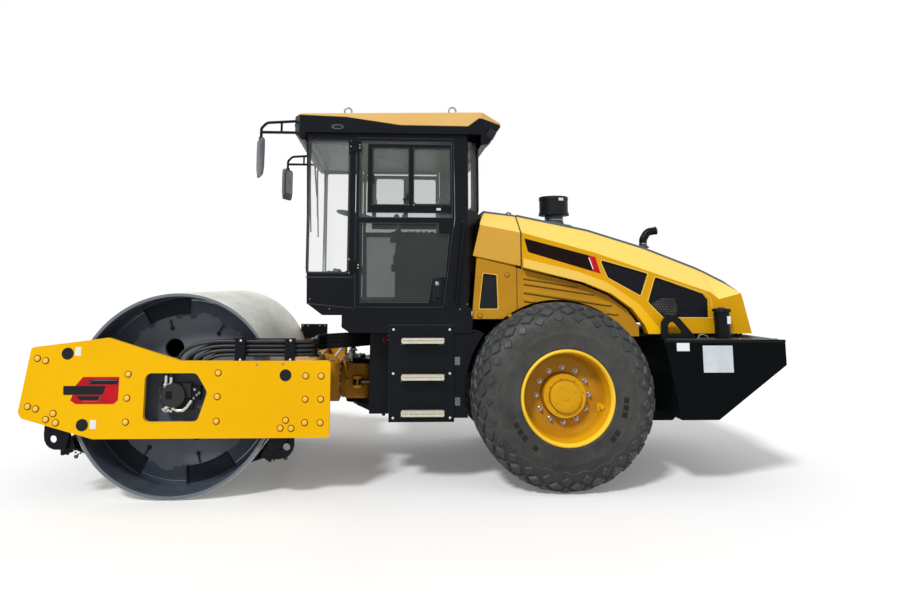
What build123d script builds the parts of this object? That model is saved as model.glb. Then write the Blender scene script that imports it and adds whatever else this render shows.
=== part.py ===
from build123d import *

import math
import os

# Single-drum road roller with a cab. Millimetres. X runs from the drum at the front to the
# counterweight at the rear, +Y is the machine's right, +Z is up, and Z = 0 is the ground.
# The origin lies on the ground under the middle of the machine.

os.makedirs("parts", exist_ok=True)

SIDES = (("left", -1), ("right", 1))

# ---------------------------------------------------------------- driving dimensions

drum_radius = 764
drum_width = 2130
drum_shell = 30
drum_axle_x = -1837
drum_disc_inset = 300
drum_disc = 36

wheel_axle_x = 1174
tyre_radius = 730
tyre_width = 560
tyre_outer_y = 1095
rim_radius = 376
tyre_clearance = 42

frame_half = 1140
plate = 40
plate_front_x = -2946
plate_rear_x = -658
plate_top = drum_radius + 258
plate_bottom = drum_radius - 304
plate_peak = drum_radius + 428
plate_peak_x = -2326

pivot_x = -490
swing_z = 740
pin_clearance = 0.3
gap = 6
seat_gap = 0.3

body_half = 640
step_half = 850
cab_half = 850
deck_bottom = 1209
deck_top = 1350
deck_front_x = -601
cab_rear_x = 540
wall = 50
glass = 6

hood_front_x = 880
hood_rear_x = 2918
hood_bottom = 1205
hood_half = 820
hood_wall = 25
panel = 17

rear_x = 2946
weight_half = 1050
weight_top = 1168
weight_bottom = 555

roof_half = 880
roof_top = 3042


# ---------------------------------------------------------------- small helpers


def block(x, y, z, mode=Mode.ADD):
    """Box between the two limits given for each axis, in the current part."""
    with Locations(((x[0] + x[1]) / 2, (y[0] + y[1]) / 2, (z[0] + z[1]) / 2)):
        Box(x[1] - x[0], y[1] - y[0], z[1] - z[0], mode=mode)


def spread(side, near, far):
    """The two Y limits of a piece that lies between |Y| = near and |Y| = far on one side."""
    return sorted((side * near, side * far))


def upright(y):
    """Drawing plane at the given Y, with X to the right and Z up."""
    return Plane.XZ.offset(-y)


def side_slab(points, y, round_off=0, mode=Mode.ADD):
    """Side outline (X, Z) made solid between two Y limits, with rounded corners."""
    with BuildSketch(upright(y[1])) as outline:
        Polygon(*points, align=None)
        if round_off:
            fillet(outline.vertices(), round_off)
    extrude(outline.sketch, amount=y[1] - y[0], mode=mode)


def shaft_y(x, z, y, radius, mode=Mode.ADD):
    """Round bar along Y between two Y limits."""
    with BuildSketch(upright(y[1])) as ring:
        with Locations((x, z)):
            Circle(radius)
    extrude(ring.sketch, amount=y[1] - y[0], mode=mode)


def shaft_z(x, y, z, radius, mode=Mode.ADD):
    """Round bar along Z between two Z limits."""
    with BuildSketch(Plane.XY.offset(z[0])) as ring:
        with Locations((x, y)):
            Circle(radius)
    extrude(ring.sketch, amount=z[1] - z[0], mode=mode)


def shaft_x(y, z, x, radius, mode=Mode.ADD):
    """Round bar along X between two X limits."""
    with BuildSketch(Plane.YZ.offset(x[0])) as ring:
        with Locations((y, z)):
            Circle(radius)
    extrude(ring.sketch, amount=x[1] - x[0], mode=mode)


def tube_run(points, radius, bends):
    """Round tube along straight runs joined by arcs, in the current part."""
    with BuildLine() as route:
        FilletPolyline(*points, radius=bends)
    with BuildSketch(Plane(origin=route.line @ 0, z_dir=route.line % 0)) as section:
        Circle(radius)
    sweep(section.sketch, path=route.line)


def save(part, name):
    """Label a finished piece and write it to its own file."""
    part.label = name
    export_step(part, f"parts/{name}.step")


# ---------------------------------------------------------------- front frame

plate_outline = [
    (plate_front_x, drum_radius - 114),
    (-2882, drum_radius + 358),
    (plate_peak_x, plate_peak),
    (-1780, plate_top),
    (plate_rear_x, plate_top),
    (plate_rear_x, plate_bottom),
    (-2395, plate_bottom),
    (-2915, drum_radius - 156),
]
window_top = drum_radius + 169
window_nose = drum_radius + 31
window_bottom = drum_radius - 187
window_outline = [
    (-2038, window_top),
    (-1659, window_top),
    (-1572, window_nose),
    (-1640, window_bottom),
    (-2038, window_bottom),
]
plate_corner = 26
plug_hole = 42
plug_spots = [(-2614, drum_radius + 313), (-2475, drum_radius - 203), (-995, drum_radius + 152)]
plate_inner = frame_half - plate

for name, side in SIDES:
    with BuildPart() as side_plate:
        side_slab(plate_outline, spread(side, plate_inner, frame_half), plate_corner)
        side_slab(window_outline, spread(side, plate_inner, frame_half), 50, Mode.SUBTRACT)
        for x, z in plug_spots:
            shaft_y(x, z, spread(side, plate_inner, frame_half), plug_hole, Mode.SUBTRACT)
    save(side_plate.part, f"side_plate_{name}")

front_beam_x = (drum_axle_x - drum_radius - 269, drum_axle_x - drum_radius - 89)
front_beam_z = (drum_radius - 164, drum_radius + 311)
with BuildPart() as front_crossmember:
    block(front_beam_x, (-plate_inner, plate_inner), front_beam_z)
    fillet(front_crossmember.edges().filter_by(Axis.Y), 30)
save(front_crossmember.part, "front_crossmember")

rear_beam_x = (-980, -785)
rear_beam_z = (600, plate_top - 22)
beam_flange_x = (-910, -680)
beam_flange = 30
beam_flange_z = (540, plate_top - 62)
housing_rear_x = -640
housing_half = 380
housing_z = (600, 915)
swing_pin = 90
swing_pin_front_x = -880
with BuildPart() as rear_crossmember:
    block(rear_beam_x, (-plate_inner, plate_inner), rear_beam_z)
    for name, side in SIDES:
        block(beam_flange_x, spread(side, plate_inner - beam_flange, plate_inner), beam_flange_z)
    block((rear_beam_x[1], housing_rear_x), (-housing_half, housing_half), housing_z)
    bore_x = (swing_pin_front_x - pin_clearance, housing_rear_x)
    shaft_x(0, swing_z, bore_x, swing_pin + pin_clearance, Mode.SUBTRACT)
save(rear_crossmember.part, "rear_crossmember")

# Drum supports hang on rubber isolators inside each side plate and carry the drum on a spindle.
isolator = 90
isolator_radius = 48
isolator_columns = (-2160, -1500)
isolator_rows = (drum_radius - 184, drum_radius - 9, drum_radius + 166)
support_face = plate_inner - isolator
support_plate = 30
support_x = (-2230, -1430)
support_z = (drum_radius - 254, drum_radius + 231)
spindle = 110
disc_outer = drum_width / 2 - drum_disc_inset
hub_radius = 200
hub_length = 95
hub_bore = 80
spindle_tip = disc_outer + hub_length - hub_bore + pin_clearance
support_outline = [
    (support_x[0], support_z[0]),
    (support_x[0], support_z[1]),
    (support_x[1], support_z[1]),
    (support_x[1], support_z[0]),
]

with BuildPart() as drum_supports:
    for name, side in SIDES:
        side_slab(support_outline, spread(side, support_face - support_plate, support_face), 60)
        spindle_y = spread(side, spindle_tip, support_face - support_plate)
        shaft_y(drum_axle_x, drum_radius, spindle_y, spindle)
save(drum_supports.part, "drum_supports")

with BuildPart() as drum_isolators:
    for name, side in SIDES:
        for x in isolator_columns:
            for z in isolator_rows:
                shaft_y(x, z, spread(side, support_face, plate_inner), isolator_radius)
save(drum_isolators.part, "drum_isolators")

# A motor is a round body in a square case, with a hose port on top.
motor_radius = 88
motor_reach = 95
motor_case = 60
case_x = (drum_axle_x - 120, drum_axle_x + 60)
case_z = (drum_radius - 55, drum_radius + 62)
port_x = drum_axle_x - 45
port_radius = 26
port_rise = 30
with BuildPart() as drum_motors:
    for name, side in SIDES:
        body_y = spread(side, support_face, support_face + motor_reach)
        shaft_y(drum_axle_x, drum_radius, body_y, motor_radius)
        block(case_x, spread(side, support_face, support_face + motor_case), case_z)
        port_y = side * (support_face + motor_case / 2)
        shaft_z(port_x, port_y, (case_z[1], case_z[1] + port_rise), port_radius)
save(drum_motors.part, "drum_motors")

# Each scraper is a beam across the frame with a blade that ends just off the drum.
lug = 30
blade_gap = 8
scraper_half = plate_inner - lug
blade_half = 1040


def drum_point(angle, reach):
    """Point (X, Z) at a distance from the drum's surface; the angle turns down from the front."""
    radius = drum_radius + reach
    turn = math.radians(angle)
    return (drum_axle_x - radius * math.cos(turn), drum_radius - radius * math.sin(turn))


# name, angle of the blade's edge, angles of the beam nearest the blade and furthest from it
scrapers = [("front", 34, 28, 22), ("rear", 139.5, 146, 152)]
beam_reach = (35, 125)
blade_root = (50, 75)
with BuildPart() as drum_scrapers:
    for name, edge, beam_near, beam_far in scrapers:
        side_slab([
            drum_point(beam_near, beam_reach[0]),
            drum_point(beam_near, beam_reach[1]),
            drum_point(beam_far, beam_reach[1]),
            drum_point(beam_far, beam_reach[0]),
        ], (-scraper_half, scraper_half))
        side_slab([
            drum_point(edge, blade_gap),
            drum_point(beam_near, blade_root[1]),
            drum_point(beam_near, blade_root[0]),
        ], (-blade_half, blade_half))
save(drum_scrapers.part, "drum_scrapers")

# Lugs hang inside each plate. They hold the ends of the scraper beams and have tie-down holes.
lug_hole = 27
front_lug_x = drum_axle_x - drum_radius
rear_lug_x = drum_axle_x + drum_radius
front_lug = [
    (front_lug_x - 163, drum_radius - 164),
    (front_lug_x - 164, drum_radius - 278),
    (front_lug_x - 158, drum_radius - 318),
    (front_lug_x - 141, drum_radius - 351),
    (front_lug_x - 115, drum_radius - 374),
    (front_lug_x - 83, drum_radius - 386),
    (front_lug_x + 1, drum_radius - 388),
    (front_lug_x + 41, drum_radius - 164),
]
rear_lug = [
    (rear_lug_x - 37, drum_radius - 174),
    (rear_lug_x - 37, drum_radius - 466),
    (rear_lug_x + 48, drum_radius - 466),
    (rear_lug_x + 90, drum_radius - 455),
    (rear_lug_x + 124, drum_radius - 433),
    (rear_lug_x + 144, drum_radius - 402),
    (rear_lug_x + 151, drum_radius - 373),
    (rear_lug_x + 151, drum_radius - 174),
]
lug_holes = [(front_lug_x - 96, drum_radius - 312), (rear_lug_x + 95, drum_radius - 380)]
with BuildPart() as tie_down_lugs:
    for name, side in SIDES:
        for outline in (front_lug, rear_lug):
            side_slab(outline, spread(side, plate_inner - lug, plate_inner))
        for x, z in lug_holes:
            shaft_y(x, z, spread(side, plate_inner - lug, plate_inner), lug_hole, Mode.SUBTRACT)
save(tie_down_lugs.part, "tie_down_lugs")

# Hoses rise from the drum bay, run rearward along the left plate through two clamps, then cross
# the hinges to the bulkhead of the rear frame. They keep one above another all the way.
hose_radius = 13
hose_y = -(drum_width / 2 + gap + hose_radius)
hose_rows = (plate_top + 40, plate_top + 73, plate_top + 106, plate_top + 139)
hose_start_x = -1810
hose_pitch_x = 72
hose_start_z = plate_top - 117
clamp_x = [(-1381, -1310), (-1006, -935)]
clamp_y = (-frame_half + 8, hose_y + hose_radius)
clamp_top = plate_top + 162
hose_cover_x = (-1162, -880)
hose_cover_top = plate_top + 148
hose_split_x = -900
bulkhead_x = -270
hose_rise = 18
with BuildPart() as hose_clamps:
    for x in clamp_x:
        block(x, clamp_y, (plate_top, clamp_top))
        for z in hose_rows:
            shaft_x(hose_y, z, x, hose_radius + pin_clearance, Mode.SUBTRACT)
    block(hose_cover_x, (frame_half - 62, frame_half - 6), (plate_top, hose_cover_top))
save(hose_clamps.part, "hose_clamps")

with BuildPart() as plate_hoses:
    for row, z in enumerate(hose_rows):
        start_x = hose_start_x + hose_pitch_x * (len(hose_rows) - 1 - row)
        tube_run([
            (start_x, hose_y, hose_start_z),
            (start_x, hose_y, z - 85),
            (start_x + 85, hose_y, z),
            (hose_split_x, hose_y, z),
        ], hose_radius, [85, 110])
save(plate_hoses.part, "plate_hoses")

swing_route = [(hose_split_x, hose_y, 0), (-805, hose_y, 0), (-640, -905, 5), (-560, -752, 8)]
steer_route = [swing_route[-1], (-480, -599, 11), (-430, -450, hose_rise), (-395, -345, hose_rise),
               (-338, -282, hose_rise), (bulkhead_x, -282, hose_rise)]
with BuildPart() as swing_hoses:
    for z in hose_rows:
        tube_run([(x, y, z + rise) for x, y, rise in swing_route], hose_radius, [160, 120])
save(swing_hoses.part, "swing_hoses")

with BuildPart() as steer_hoses:
    for z in hose_rows:
        tube_run([(x, y, z + rise) for x, y, rise in steer_route], hose_radius, [250, 200, 120, 60])
save(steer_hoses.part, "steer_hoses")

# ---------------------------------------------------------------- drum

shell_y = (-drum_width / 2, drum_width / 2)
with BuildPart() as drum_shell_part:
    shaft_y(drum_axle_x, drum_radius, shell_y, drum_radius)
    shaft_y(drum_axle_x, drum_radius, shell_y, drum_radius - drum_shell, Mode.SUBTRACT)
save(drum_shell_part.part, "drum_shell")

disc_eye = 76
disc_eye_circle = 335
disc_eye_turns = (108, 288)
for name, side in SIDES:
    disc_y = spread(side, disc_outer - drum_disc, disc_outer)
    hub_end = disc_outer + hub_length
    with BuildPart() as drum_disc_part:
        shaft_y(drum_axle_x, drum_radius, disc_y, drum_radius - drum_shell)
        shaft_y(drum_axle_x, drum_radius, spread(side, disc_outer, hub_end), hub_radius)
        for turn in disc_eye_turns:
            eye_x = drum_axle_x + disc_eye_circle * math.cos(math.radians(turn))
            eye_z = drum_radius + disc_eye_circle * math.sin(math.radians(turn))
            shaft_y(eye_x, eye_z, disc_y, disc_eye, Mode.SUBTRACT)
        bore_y = spread(side, hub_end - hub_bore, hub_end)
        shaft_y(drum_axle_x, drum_radius, bore_y, spindle + pin_clearance, Mode.SUBTRACT)
    save(drum_disc_part.part, f"drum_disc_{name}")

# ---------------------------------------------------------------- hitch

hitch_half = 160
hitch_x = (-600, -385)
hitch_z = (590, 890)
hitch_disc = 165
ear_reach = 206
ear_radius = 48
ear_z = (690, 790)
ear = 22
pivot_radius = 40
with BuildPart() as hitch:
    block(hitch_x, (-hitch_half, hitch_half), hitch_z)
    fillet(hitch.edges().filter_by(Axis.Z).sort_by(Axis.X)[-2:], 60)
    shaft_x(0, swing_z, (housing_rear_x + pin_clearance, hitch_x[0]), hitch_disc)
    shaft_x(0, swing_z, (swing_pin_front_x, housing_rear_x + pin_clearance), swing_pin)
    for name, side in SIDES:
        for z in ((ear_z[0], ear_z[0] + ear), (ear_z[1] - ear, ear_z[1])):
            block((pivot_x - ear_radius, pivot_x + ear_radius), spread(side, hitch_half, ear_reach), z)
            shaft_z(pivot_x, side * ear_reach, z, ear_radius)
    shaft_z(pivot_x, 0, hitch_z, pivot_radius + pin_clearance, Mode.SUBTRACT)
save(hitch.part, "hitch")

lug_plate = 40
upper_lug_z = (hitch_z[1] + gap, hitch_z[1] + gap + lug_plate)
lower_lug_z = (hitch_z[0] - gap - lug_plate, hitch_z[0] - gap)
lug_nose = 110
pin_head = 62
lug_root = 300
lug_plan = [(pivot_x, -lug_nose), (bulkhead_x, -lug_root), (bulkhead_x, lug_root), (pivot_x, lug_nose)]
with BuildPart() as pivot_pin:
    shaft_z(pivot_x, 0, (lower_lug_z[0] - 25, upper_lug_z[1]), pivot_radius)
    shaft_z(pivot_x, 0, (upper_lug_z[1], upper_lug_z[1] + 24), pin_head)
save(pivot_pin.part, "pivot_pin")

# ---------------------------------------------------------------- steering cylinders

cylinder_z = (ear_z[0] + ear_z[1]) / 2
cylinder_y = ear_reach
cylinder_rear_x = 70
eye_half = (ear_z[1] - ear_z[0]) / 2 - ear - 3
eye_radius = 40
eye_pin = 20
barrel_radius = 42
barrel_neck = 24
barrel_rear_x = 8
barrel_front_x = -300
rod_radius = 22
rod_end_x = -150
rod_stroke = 120
bore_end_x = rod_end_x + rod_stroke + gap
eye_z = (cylinder_z - eye_half, cylinder_z + eye_half)
for name, side in SIDES:
    line_y = side * cylinder_y
    with BuildPart() as barrel:
        shaft_x(line_y, cylinder_z, (barrel_front_x, barrel_rear_x), barrel_radius)
        shaft_x(line_y, cylinder_z, (barrel_rear_x, cylinder_rear_x - eye_radius / 2), barrel_neck)
        shaft_z(cylinder_rear_x, line_y, eye_z, eye_radius)
        shaft_z(cylinder_rear_x, line_y, eye_z, eye_pin + pin_clearance, Mode.SUBTRACT)
        shaft_x(line_y, cylinder_z, (barrel_front_x, bore_end_x), rod_radius + pin_clearance, Mode.SUBTRACT)
    save(barrel.part, f"steering_barrel_{name}")
    with BuildPart() as rod:
        shaft_x(line_y, cylinder_z, (pivot_x + eye_radius / 2, rod_end_x), rod_radius)
        shaft_z(pivot_x, line_y, eye_z, eye_radius)
    save(rod.part, f"steering_rod_{name}")

# ---------------------------------------------------------------- rear frame

rail_y = (400, 430)
rail_z = (842, 1180)
rail_front_x = -375
bulkhead = 30
bulkhead_z = (480, deck_bottom)
cheek_z = (540, deck_bottom)
cheek_rear_x = 330
bracket_x = (cylinder_rear_x - 55, 190)
bracket_y = (150, rail_y[0])
bracket_gap = 2
bracket_z = [
    (eye_z[0] - ear - bracket_gap, eye_z[0] - bracket_gap),
    (eye_z[1] + bracket_gap, eye_z[1] + ear + bracket_gap),
]
slot_y = (110, 290)
slot_z = (640, 840)
gusset_half = 20
gusset_front_x = pivot_x + pivot_radius + 20
weight_front_x = 1962
engine_deck_x = (1800, weight_front_x)
panel_out = hood_half - 8
engine_deck_y = (rail_y[0], panel_out - panel)
with BuildPart() as rear_frame:
    for name, side in SIDES:
        block((rail_front_x, weight_front_x), spread(side, *rail_y), rail_z)
        block((rail_front_x, cheek_rear_x), spread(side, *rail_y), cheek_z)
        for z in bracket_z:
            block(bracket_x, spread(side, *bracket_y), z)
        shaft_z(cylinder_rear_x, side * cylinder_y, (eye_z[0] - ear, eye_z[1] + ear), eye_pin)
        block(engine_deck_x, spread(side, *engine_deck_y), (rail_z[1], hood_bottom - seat_gap))
    block((bulkhead_x, bulkhead_x + bulkhead), (-rail_y[0], rail_y[0]), bulkhead_z)
    for name, side in SIDES:
        block((bulkhead_x, bulkhead_x + bulkhead), spread(side, *slot_y), slot_z, Mode.SUBTRACT)
    for z in (upper_lug_z, lower_lug_z):
        with BuildSketch(Plane.XY.offset(z[0])) as lug_shape:
            Polygon(*lug_plan, align=None)
            with Locations((pivot_x, 0)):
                Circle(lug_nose)
                Circle(pivot_radius + pin_clearance, mode=Mode.SUBTRACT)
        extrude(lug_shape.sketch, amount=z[1] - z[0])
    side_slab([
        (gusset_front_x, lower_lug_z[0]),
        (bulkhead_x, lower_lug_z[0]),
        (bulkhead_x, bulkhead_z[0]),
    ], (-gusset_half, gusset_half))
save(rear_frame.part, "rear_frame")

# Its rear edge carries the side panels.
platform_rear_x = 462
sill = 30
panel_bottom = 1319
platform_outline = [
    (deck_front_x, deck_top),
    (deck_front_x, deck_bottom + 45),
    (-533, deck_bottom),
    (platform_rear_x, deck_bottom),
    (platform_rear_x, deck_top),
]
with BuildPart() as platform:
    side_slab(platform_outline, (-cab_half, cab_half))
    block((platform_rear_x - sill, platform_rear_x), (-panel_out, panel_out), (panel_bottom, deck_top))
save(platform.part, "platform")

# Each step box has a narrow nose that the front frame swings past, a wider step panel behind it and a
# rear end that follows the tyre.
arch_clear = tyre_radius + tyre_clearance
nose_x = (-375, -214)
step_x = (-214, 310)
step_z = (512, deck_bottom)
box_rear_x = 560
step_inset = 18
tread_x = (-110, 216)
tread_depth = 88
tread = 28
tread_tops = (600, 878, 1163)
with BuildPart() as step_boxes:
    for name, side in SIDES:
        block((nose_x[0], nose_x[1]), spread(side, rail_y[1], body_half), cheek_z)
        block((nose_x[1], box_rear_x), spread(side, rail_y[1], step_half - step_inset), cheek_z)
    shaft_y(wheel_axle_x, tyre_radius, (-step_half, step_half), arch_clear, Mode.SUBTRACT)
save(step_boxes.part, "step_boxes")

with BuildPart() as step_panels:
    for name, side in SIDES:
        block(step_x, spread(side, step_half - step_inset, step_half), step_z)
        for top in tread_tops:
            block(tread_x, spread(side, step_half, step_half + tread_depth), (top - tread, top))
save(step_panels.part, "step_panels")

# ---------------------------------------------------------------- rear axle and wheels

axle_tube = 95
differential = 190
axle_pad = 70
hub_face = 905
spindle_end = 985
wheel_spindle = 70
with BuildPart() as rear_axle:
    shaft_y(wheel_axle_x, tyre_radius, (-hub_face + 60, hub_face - 60), axle_tube)
    shaft_y(wheel_axle_x, tyre_radius, (-150, 150), differential)
    shaft_y(wheel_axle_x, tyre_radius, (-spindle_end, spindle_end), wheel_spindle)
    for name, side in SIDES:
        block((wheel_axle_x - axle_pad, wheel_axle_x + axle_pad), spread(side, *rail_y),
              (tyre_radius + axle_tube / 2, rail_z[0]))
save(rear_axle.part, "rear_axle")

tyre_inner_y = tyre_outer_y - tyre_width
bead_radius = rim_radius - 22
rim_disc_y = 900
rim_wall = 12
hub_cover = 168
hub_cap = 122
hub_out = 1010
for name, side in SIDES:
    with BuildPart() as tyre:
        with BuildSketch(Plane.XY) as tyre_section:
            with BuildLine():
                Polyline(
                    (bead_radius, side * (tyre_inner_y + 40)),
                    (bead_radius + 60, side * (tyre_inner_y + 12)),
                    (tyre_radius - 200, side * tyre_inner_y),
                    (tyre_radius - 70, side * (tyre_inner_y + 22)),
                    (tyre_radius - 22, side * (tyre_inner_y + 62)),
                    (tyre_radius, side * (tyre_inner_y + 170)),
                    (tyre_radius, side * (tyre_outer_y - 170)),
                    (tyre_radius - 22, side * (tyre_outer_y - 62)),
                    (tyre_radius - 70, side * (tyre_outer_y - 22)),
                    (tyre_radius - 200, side * tyre_outer_y),
                    (bead_radius + 60, side * (tyre_outer_y - 12)),
                    (bead_radius, side * (tyre_outer_y - 40)),
                    close=True,
                )
            make_face()
        revolve(tyre_section.sketch, axis=Axis.Y)
    save(Pos(wheel_axle_x, 0, tyre_radius) * tyre.part, f"tyre_{name}")
    with BuildPart() as rim:
        with BuildSketch(Plane.XY) as rim_section:
            with BuildLine():
                Polyline(
                    (bead_radius - rim_wall, side * (tyre_inner_y + 22)),
                    (rim_radius, side * (tyre_inner_y + 12)),
                    (rim_radius, side * (tyre_inner_y + 28)),
                    (bead_radius, side * (tyre_inner_y + 40)),
                    (bead_radius, side * (tyre_outer_y - 40)),
                    (rim_radius, side * (tyre_outer_y - 28)),
                    (rim_radius, side * (tyre_outer_y - 12)),
                    (bead_radius - rim_wall, side * (tyre_outer_y - 22)),
                    (bead_radius - 34, side * (rim_disc_y + 40)),
                    (290, side * rim_disc_y),
                    (hub_cover, side * rim_disc_y),
                    (hub_cover, side * (hub_out - 30)),
                    (hub_cap, side * (hub_out - 30)),
                    (hub_cap, side * hub_out),
                    (0, side * hub_out),
                    (0, side * (spindle_end + 5)),
                    (wheel_spindle + pin_clearance, side * (spindle_end + 5)),
                    (wheel_spindle + pin_clearance, side * (rim_disc_y - 24)),
                    (286, side * (rim_disc_y - 24)),
                    (bead_radius - 50, side * (rim_disc_y + 10)),
                    close=True,
                )
            make_face()
        revolve(rim_section.sketch, axis=Axis.Y)
    save(Pos(wheel_axle_x, 0, tyre_radius) * rim.part, f"rim_{name}")

# ---------------------------------------------------------------- engine and counterweight

engine_x = (1000, 1900)
engine_half = 320
engine_z = (960, 1640)
engine_mount_z = (1020, 1130)
engine_mounts = [(1080, 1200), (1700, 1820)]
with BuildPart() as engine_block:
    block(engine_x, (-engine_half, engine_half), engine_z)
    for name, side in SIDES:
        for mount_x in engine_mounts:
            block(mount_x, spread(side, engine_half, rail_y[0]), engine_mount_z)
save(engine_block.part, "engine_block")

# The hood turns on two short pins at its rear edge, each held between two ears of the counterweight.
hood_hinge_x = hood_rear_x - hood_wall
hood_hinge_z = 1187
hood_hinge_y = 420
hood_pin = 6
hood_knuckle = 10
hood_knuckle_half = 30
hood_ear = 14
ears = (hood_knuckle_half + 1, hood_knuckle_half + 1 + hood_ear)
knuckle_x = (hood_hinge_x - hood_knuckle, hood_hinge_x + hood_knuckle)
weight_outline = [
    (weight_front_x, weight_top),
    (weight_front_x + 24, 1072),
    (2078, weight_bottom),
    (2375, weight_bottom),
    (rear_x, 975),
    (rear_x, weight_top),
]
core_half = 450
core_outline = [
    (weight_front_x + 4, weight_bottom + 145),
    (weight_front_x + 4, weight_bottom - 115),
    (2250, weight_bottom - 115),
    (2285, weight_bottom - 80),
    (2285, weight_bottom + 45),
]
with BuildPart() as counterweight:
    side_slab(weight_outline, (-weight_half, weight_half))
    side_slab(core_outline, (-core_half, core_half))
    for name, side in SIDES:
        middle = side * hood_hinge_y
        shaft_y(hood_hinge_x, hood_hinge_z, (middle - ears[1], middle + ears[1]), hood_pin)
        for ear_y in ((middle - ears[1], middle - ears[0]), (middle + ears[0], middle + ears[1])):
            block(knuckle_x, ear_y, (weight_top, hood_hinge_z))
            shaft_y(hood_hinge_x, hood_hinge_z, ear_y, hood_knuckle)
save(counterweight.part, "counterweight")

eye_y = (900, 930)
eye_outline = [
    (1990, weight_top),
    (1999, 1300),
    (2022, 1336),
    (2062, 1355),
    (2118, 1353),
    (2150, 1330),
    (2287, weight_top),
]
eye_opening = [
    (2050, weight_top + 38),
    (2050, 1276),
    (2066, 1300),
    (2090, 1305),
    (2110, 1295),
    (2166, 1228),
    (2152, weight_top + 38),
]
with BuildPart() as lifting_eyes:
    for name, side in SIDES:
        side_slab(eye_outline, spread(side, *eye_y))
        side_slab(eye_opening, spread(side, *eye_y), 0, Mode.SUBTRACT)
save(lifting_eyes.part, "lifting_eyes")

filler_x = 2510
filler_top = 1385
filler_radius = 60
filler_cap = 66
filler_y = -(hood_half + filler_cap + 19)
with BuildPart() as filler_neck:
    shaft_z(filler_x, filler_y, (weight_top, filler_top), filler_radius)
    shaft_z(filler_x, filler_y, (filler_top, filler_top + 25), filler_cap)
save(filler_neck.part, "filler_neck")

# ---------------------------------------------------------------- cowl, hood and side panels

# X, top Z, half width at the top edge, crease Z, half width at the crease, lean. A leaning section
# has its X at the hood's lower edge and comes forward as it rises.
hood_lean = 0.22
hood_sections = [
    (hood_front_x, 2186, 600, 2034, hood_half, 0),
    (1500, 2062, 600, 1868, hood_half, 0),
    (2000, 1912, 590, 1700, hood_half, 0),
    (2470, 1737, 565, 1543, hood_half, 0),
    (2537, 1706, 565, 1487, hood_half, 0),
    (2800, 1622, 560, 1536, hood_half, hood_lean),
    (hood_rear_x, 1534, 540, 1505, 600, hood_lean),
]


def hood_face(top, half_top, crease, half_crease, bottom, inset=0):
    """Cross-section (Y, Z) of the engine cover, drawn in by the inset and open below."""
    if inset:
        bottom = bottom - 1
    return [
        (-half_crease + inset, bottom),
        (-half_crease + inset, crease - inset / 2),
        (-half_top + inset / 2, top - inset),
        (half_top - inset / 2, top - inset),
        (half_crease - inset, crease - inset / 2),
        (half_crease - inset, bottom),
    ]


def section_plane(x, lean):
    """Plane of a hood section through the hood's lower edge at X, leaning forward with height."""
    return Plane(origin=(x, 0, hood_bottom), x_dir=(0, 1, 0), z_dir=(1, 0, lean))


def hood_section(top, half_top, crease, half_crease, lean, inset=0):
    """The hood's cross-section in its own plane, with heights measured from the lower edge."""
    stretch = math.hypot(1, lean)
    face = hood_face(top, half_top, crease, half_crease, hood_bottom, inset)
    return [(y, (z - hood_bottom) * stretch) for y, z in face]


arch_x = 1900
hood_arch = [
    (hood_front_x - 60, 1748),
    (1376, 1622),
    (1604, 1530),
    (1773, 1408),
    (1870, 1280),
    (arch_x, hood_bottom),
    (arch_x, hood_bottom - 200),
    (hood_front_x - 60, hood_bottom - 200),
]
lip_top = [(hood_front_x + 1, 1812), (1340, 1706), (1568, 1622), (1831, 1446), (2030, hood_bottom)]
lip_out = 70
grille_outlines = [
    [(1538, 1808), (1942, 1695), (1875, 1512), (1601, 1662)],
    [(2001, 1668), (2400, 1530), (2440, 1480), (2440, 1336), (2059, 1336), (1935, 1462)],
]
with BuildPart() as hood:
    for x, top, half_top, crease, half_crease, lean in hood_sections:
        with BuildSketch(section_plane(x, lean)):
            Polygon(*hood_section(top, half_top, crease, half_crease, lean), align=None)
    loft(ruled=True)
    inner_faces = []
    for x, top, half_top, crease, half_crease, lean in hood_sections:
        inner_x = min(x, hood_rear_x - hood_wall)
        with BuildSketch(section_plane(inner_x, lean), mode=Mode.PRIVATE) as inner_section:
            Polygon(*hood_section(top, half_top, crease, half_crease, lean, hood_wall), align=None)
        inner_faces.append(inner_section.sketch)
    loft(inner_faces, ruled=True, mode=Mode.SUBTRACT)
    for name, side in SIDES:
        side_slab(lip_top + hood_arch[-3:0:-1] + [(hood_front_x + 1, 1742)],
                  spread(side, hood_half - hood_wall, hood_half + lip_out))
    side_slab(hood_arch, (-hood_half - lip_out - 1, hood_half + lip_out + 1), 0, Mode.SUBTRACT)
    for outline in grille_outlines:
        side_slab(outline, (-hood_half - 1, hood_half + 1), 0, Mode.SUBTRACT)
    for name, side in SIDES:
        middle = side * hood_hinge_y
        knuckle_y = (middle - hood_knuckle_half, middle + hood_knuckle_half)
        block(knuckle_x, knuckle_y, (hood_hinge_z, hood_bottom + hood_wall))
        shaft_y(hood_hinge_x, hood_hinge_z, knuckle_y, hood_knuckle)
        shaft_y(hood_hinge_x, hood_hinge_z, knuckle_y, hood_pin + pin_clearance, Mode.SUBTRACT)
save(hood.part, "hood")

grille = 10
grille_y = hood_half - hood_wall + 2
with BuildPart() as hood_grilles:
    for name, side in SIDES:
        for outline in grille_outlines:
            side_slab(outline, spread(side, grille_y, grille_y + grille))
save(hood_grilles.part, "hood_grilles")

# The cleaner's foot and the tail pipe stand on the sloping top of the hood.
under_hood_top = [(section[0], section[1]) for section in hood_sections]
under_hood_top += [(hood_rear_x, hood_bottom), (hood_front_x, hood_bottom)]
cleaner_x = 1345
cleaner_y = -60
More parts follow.
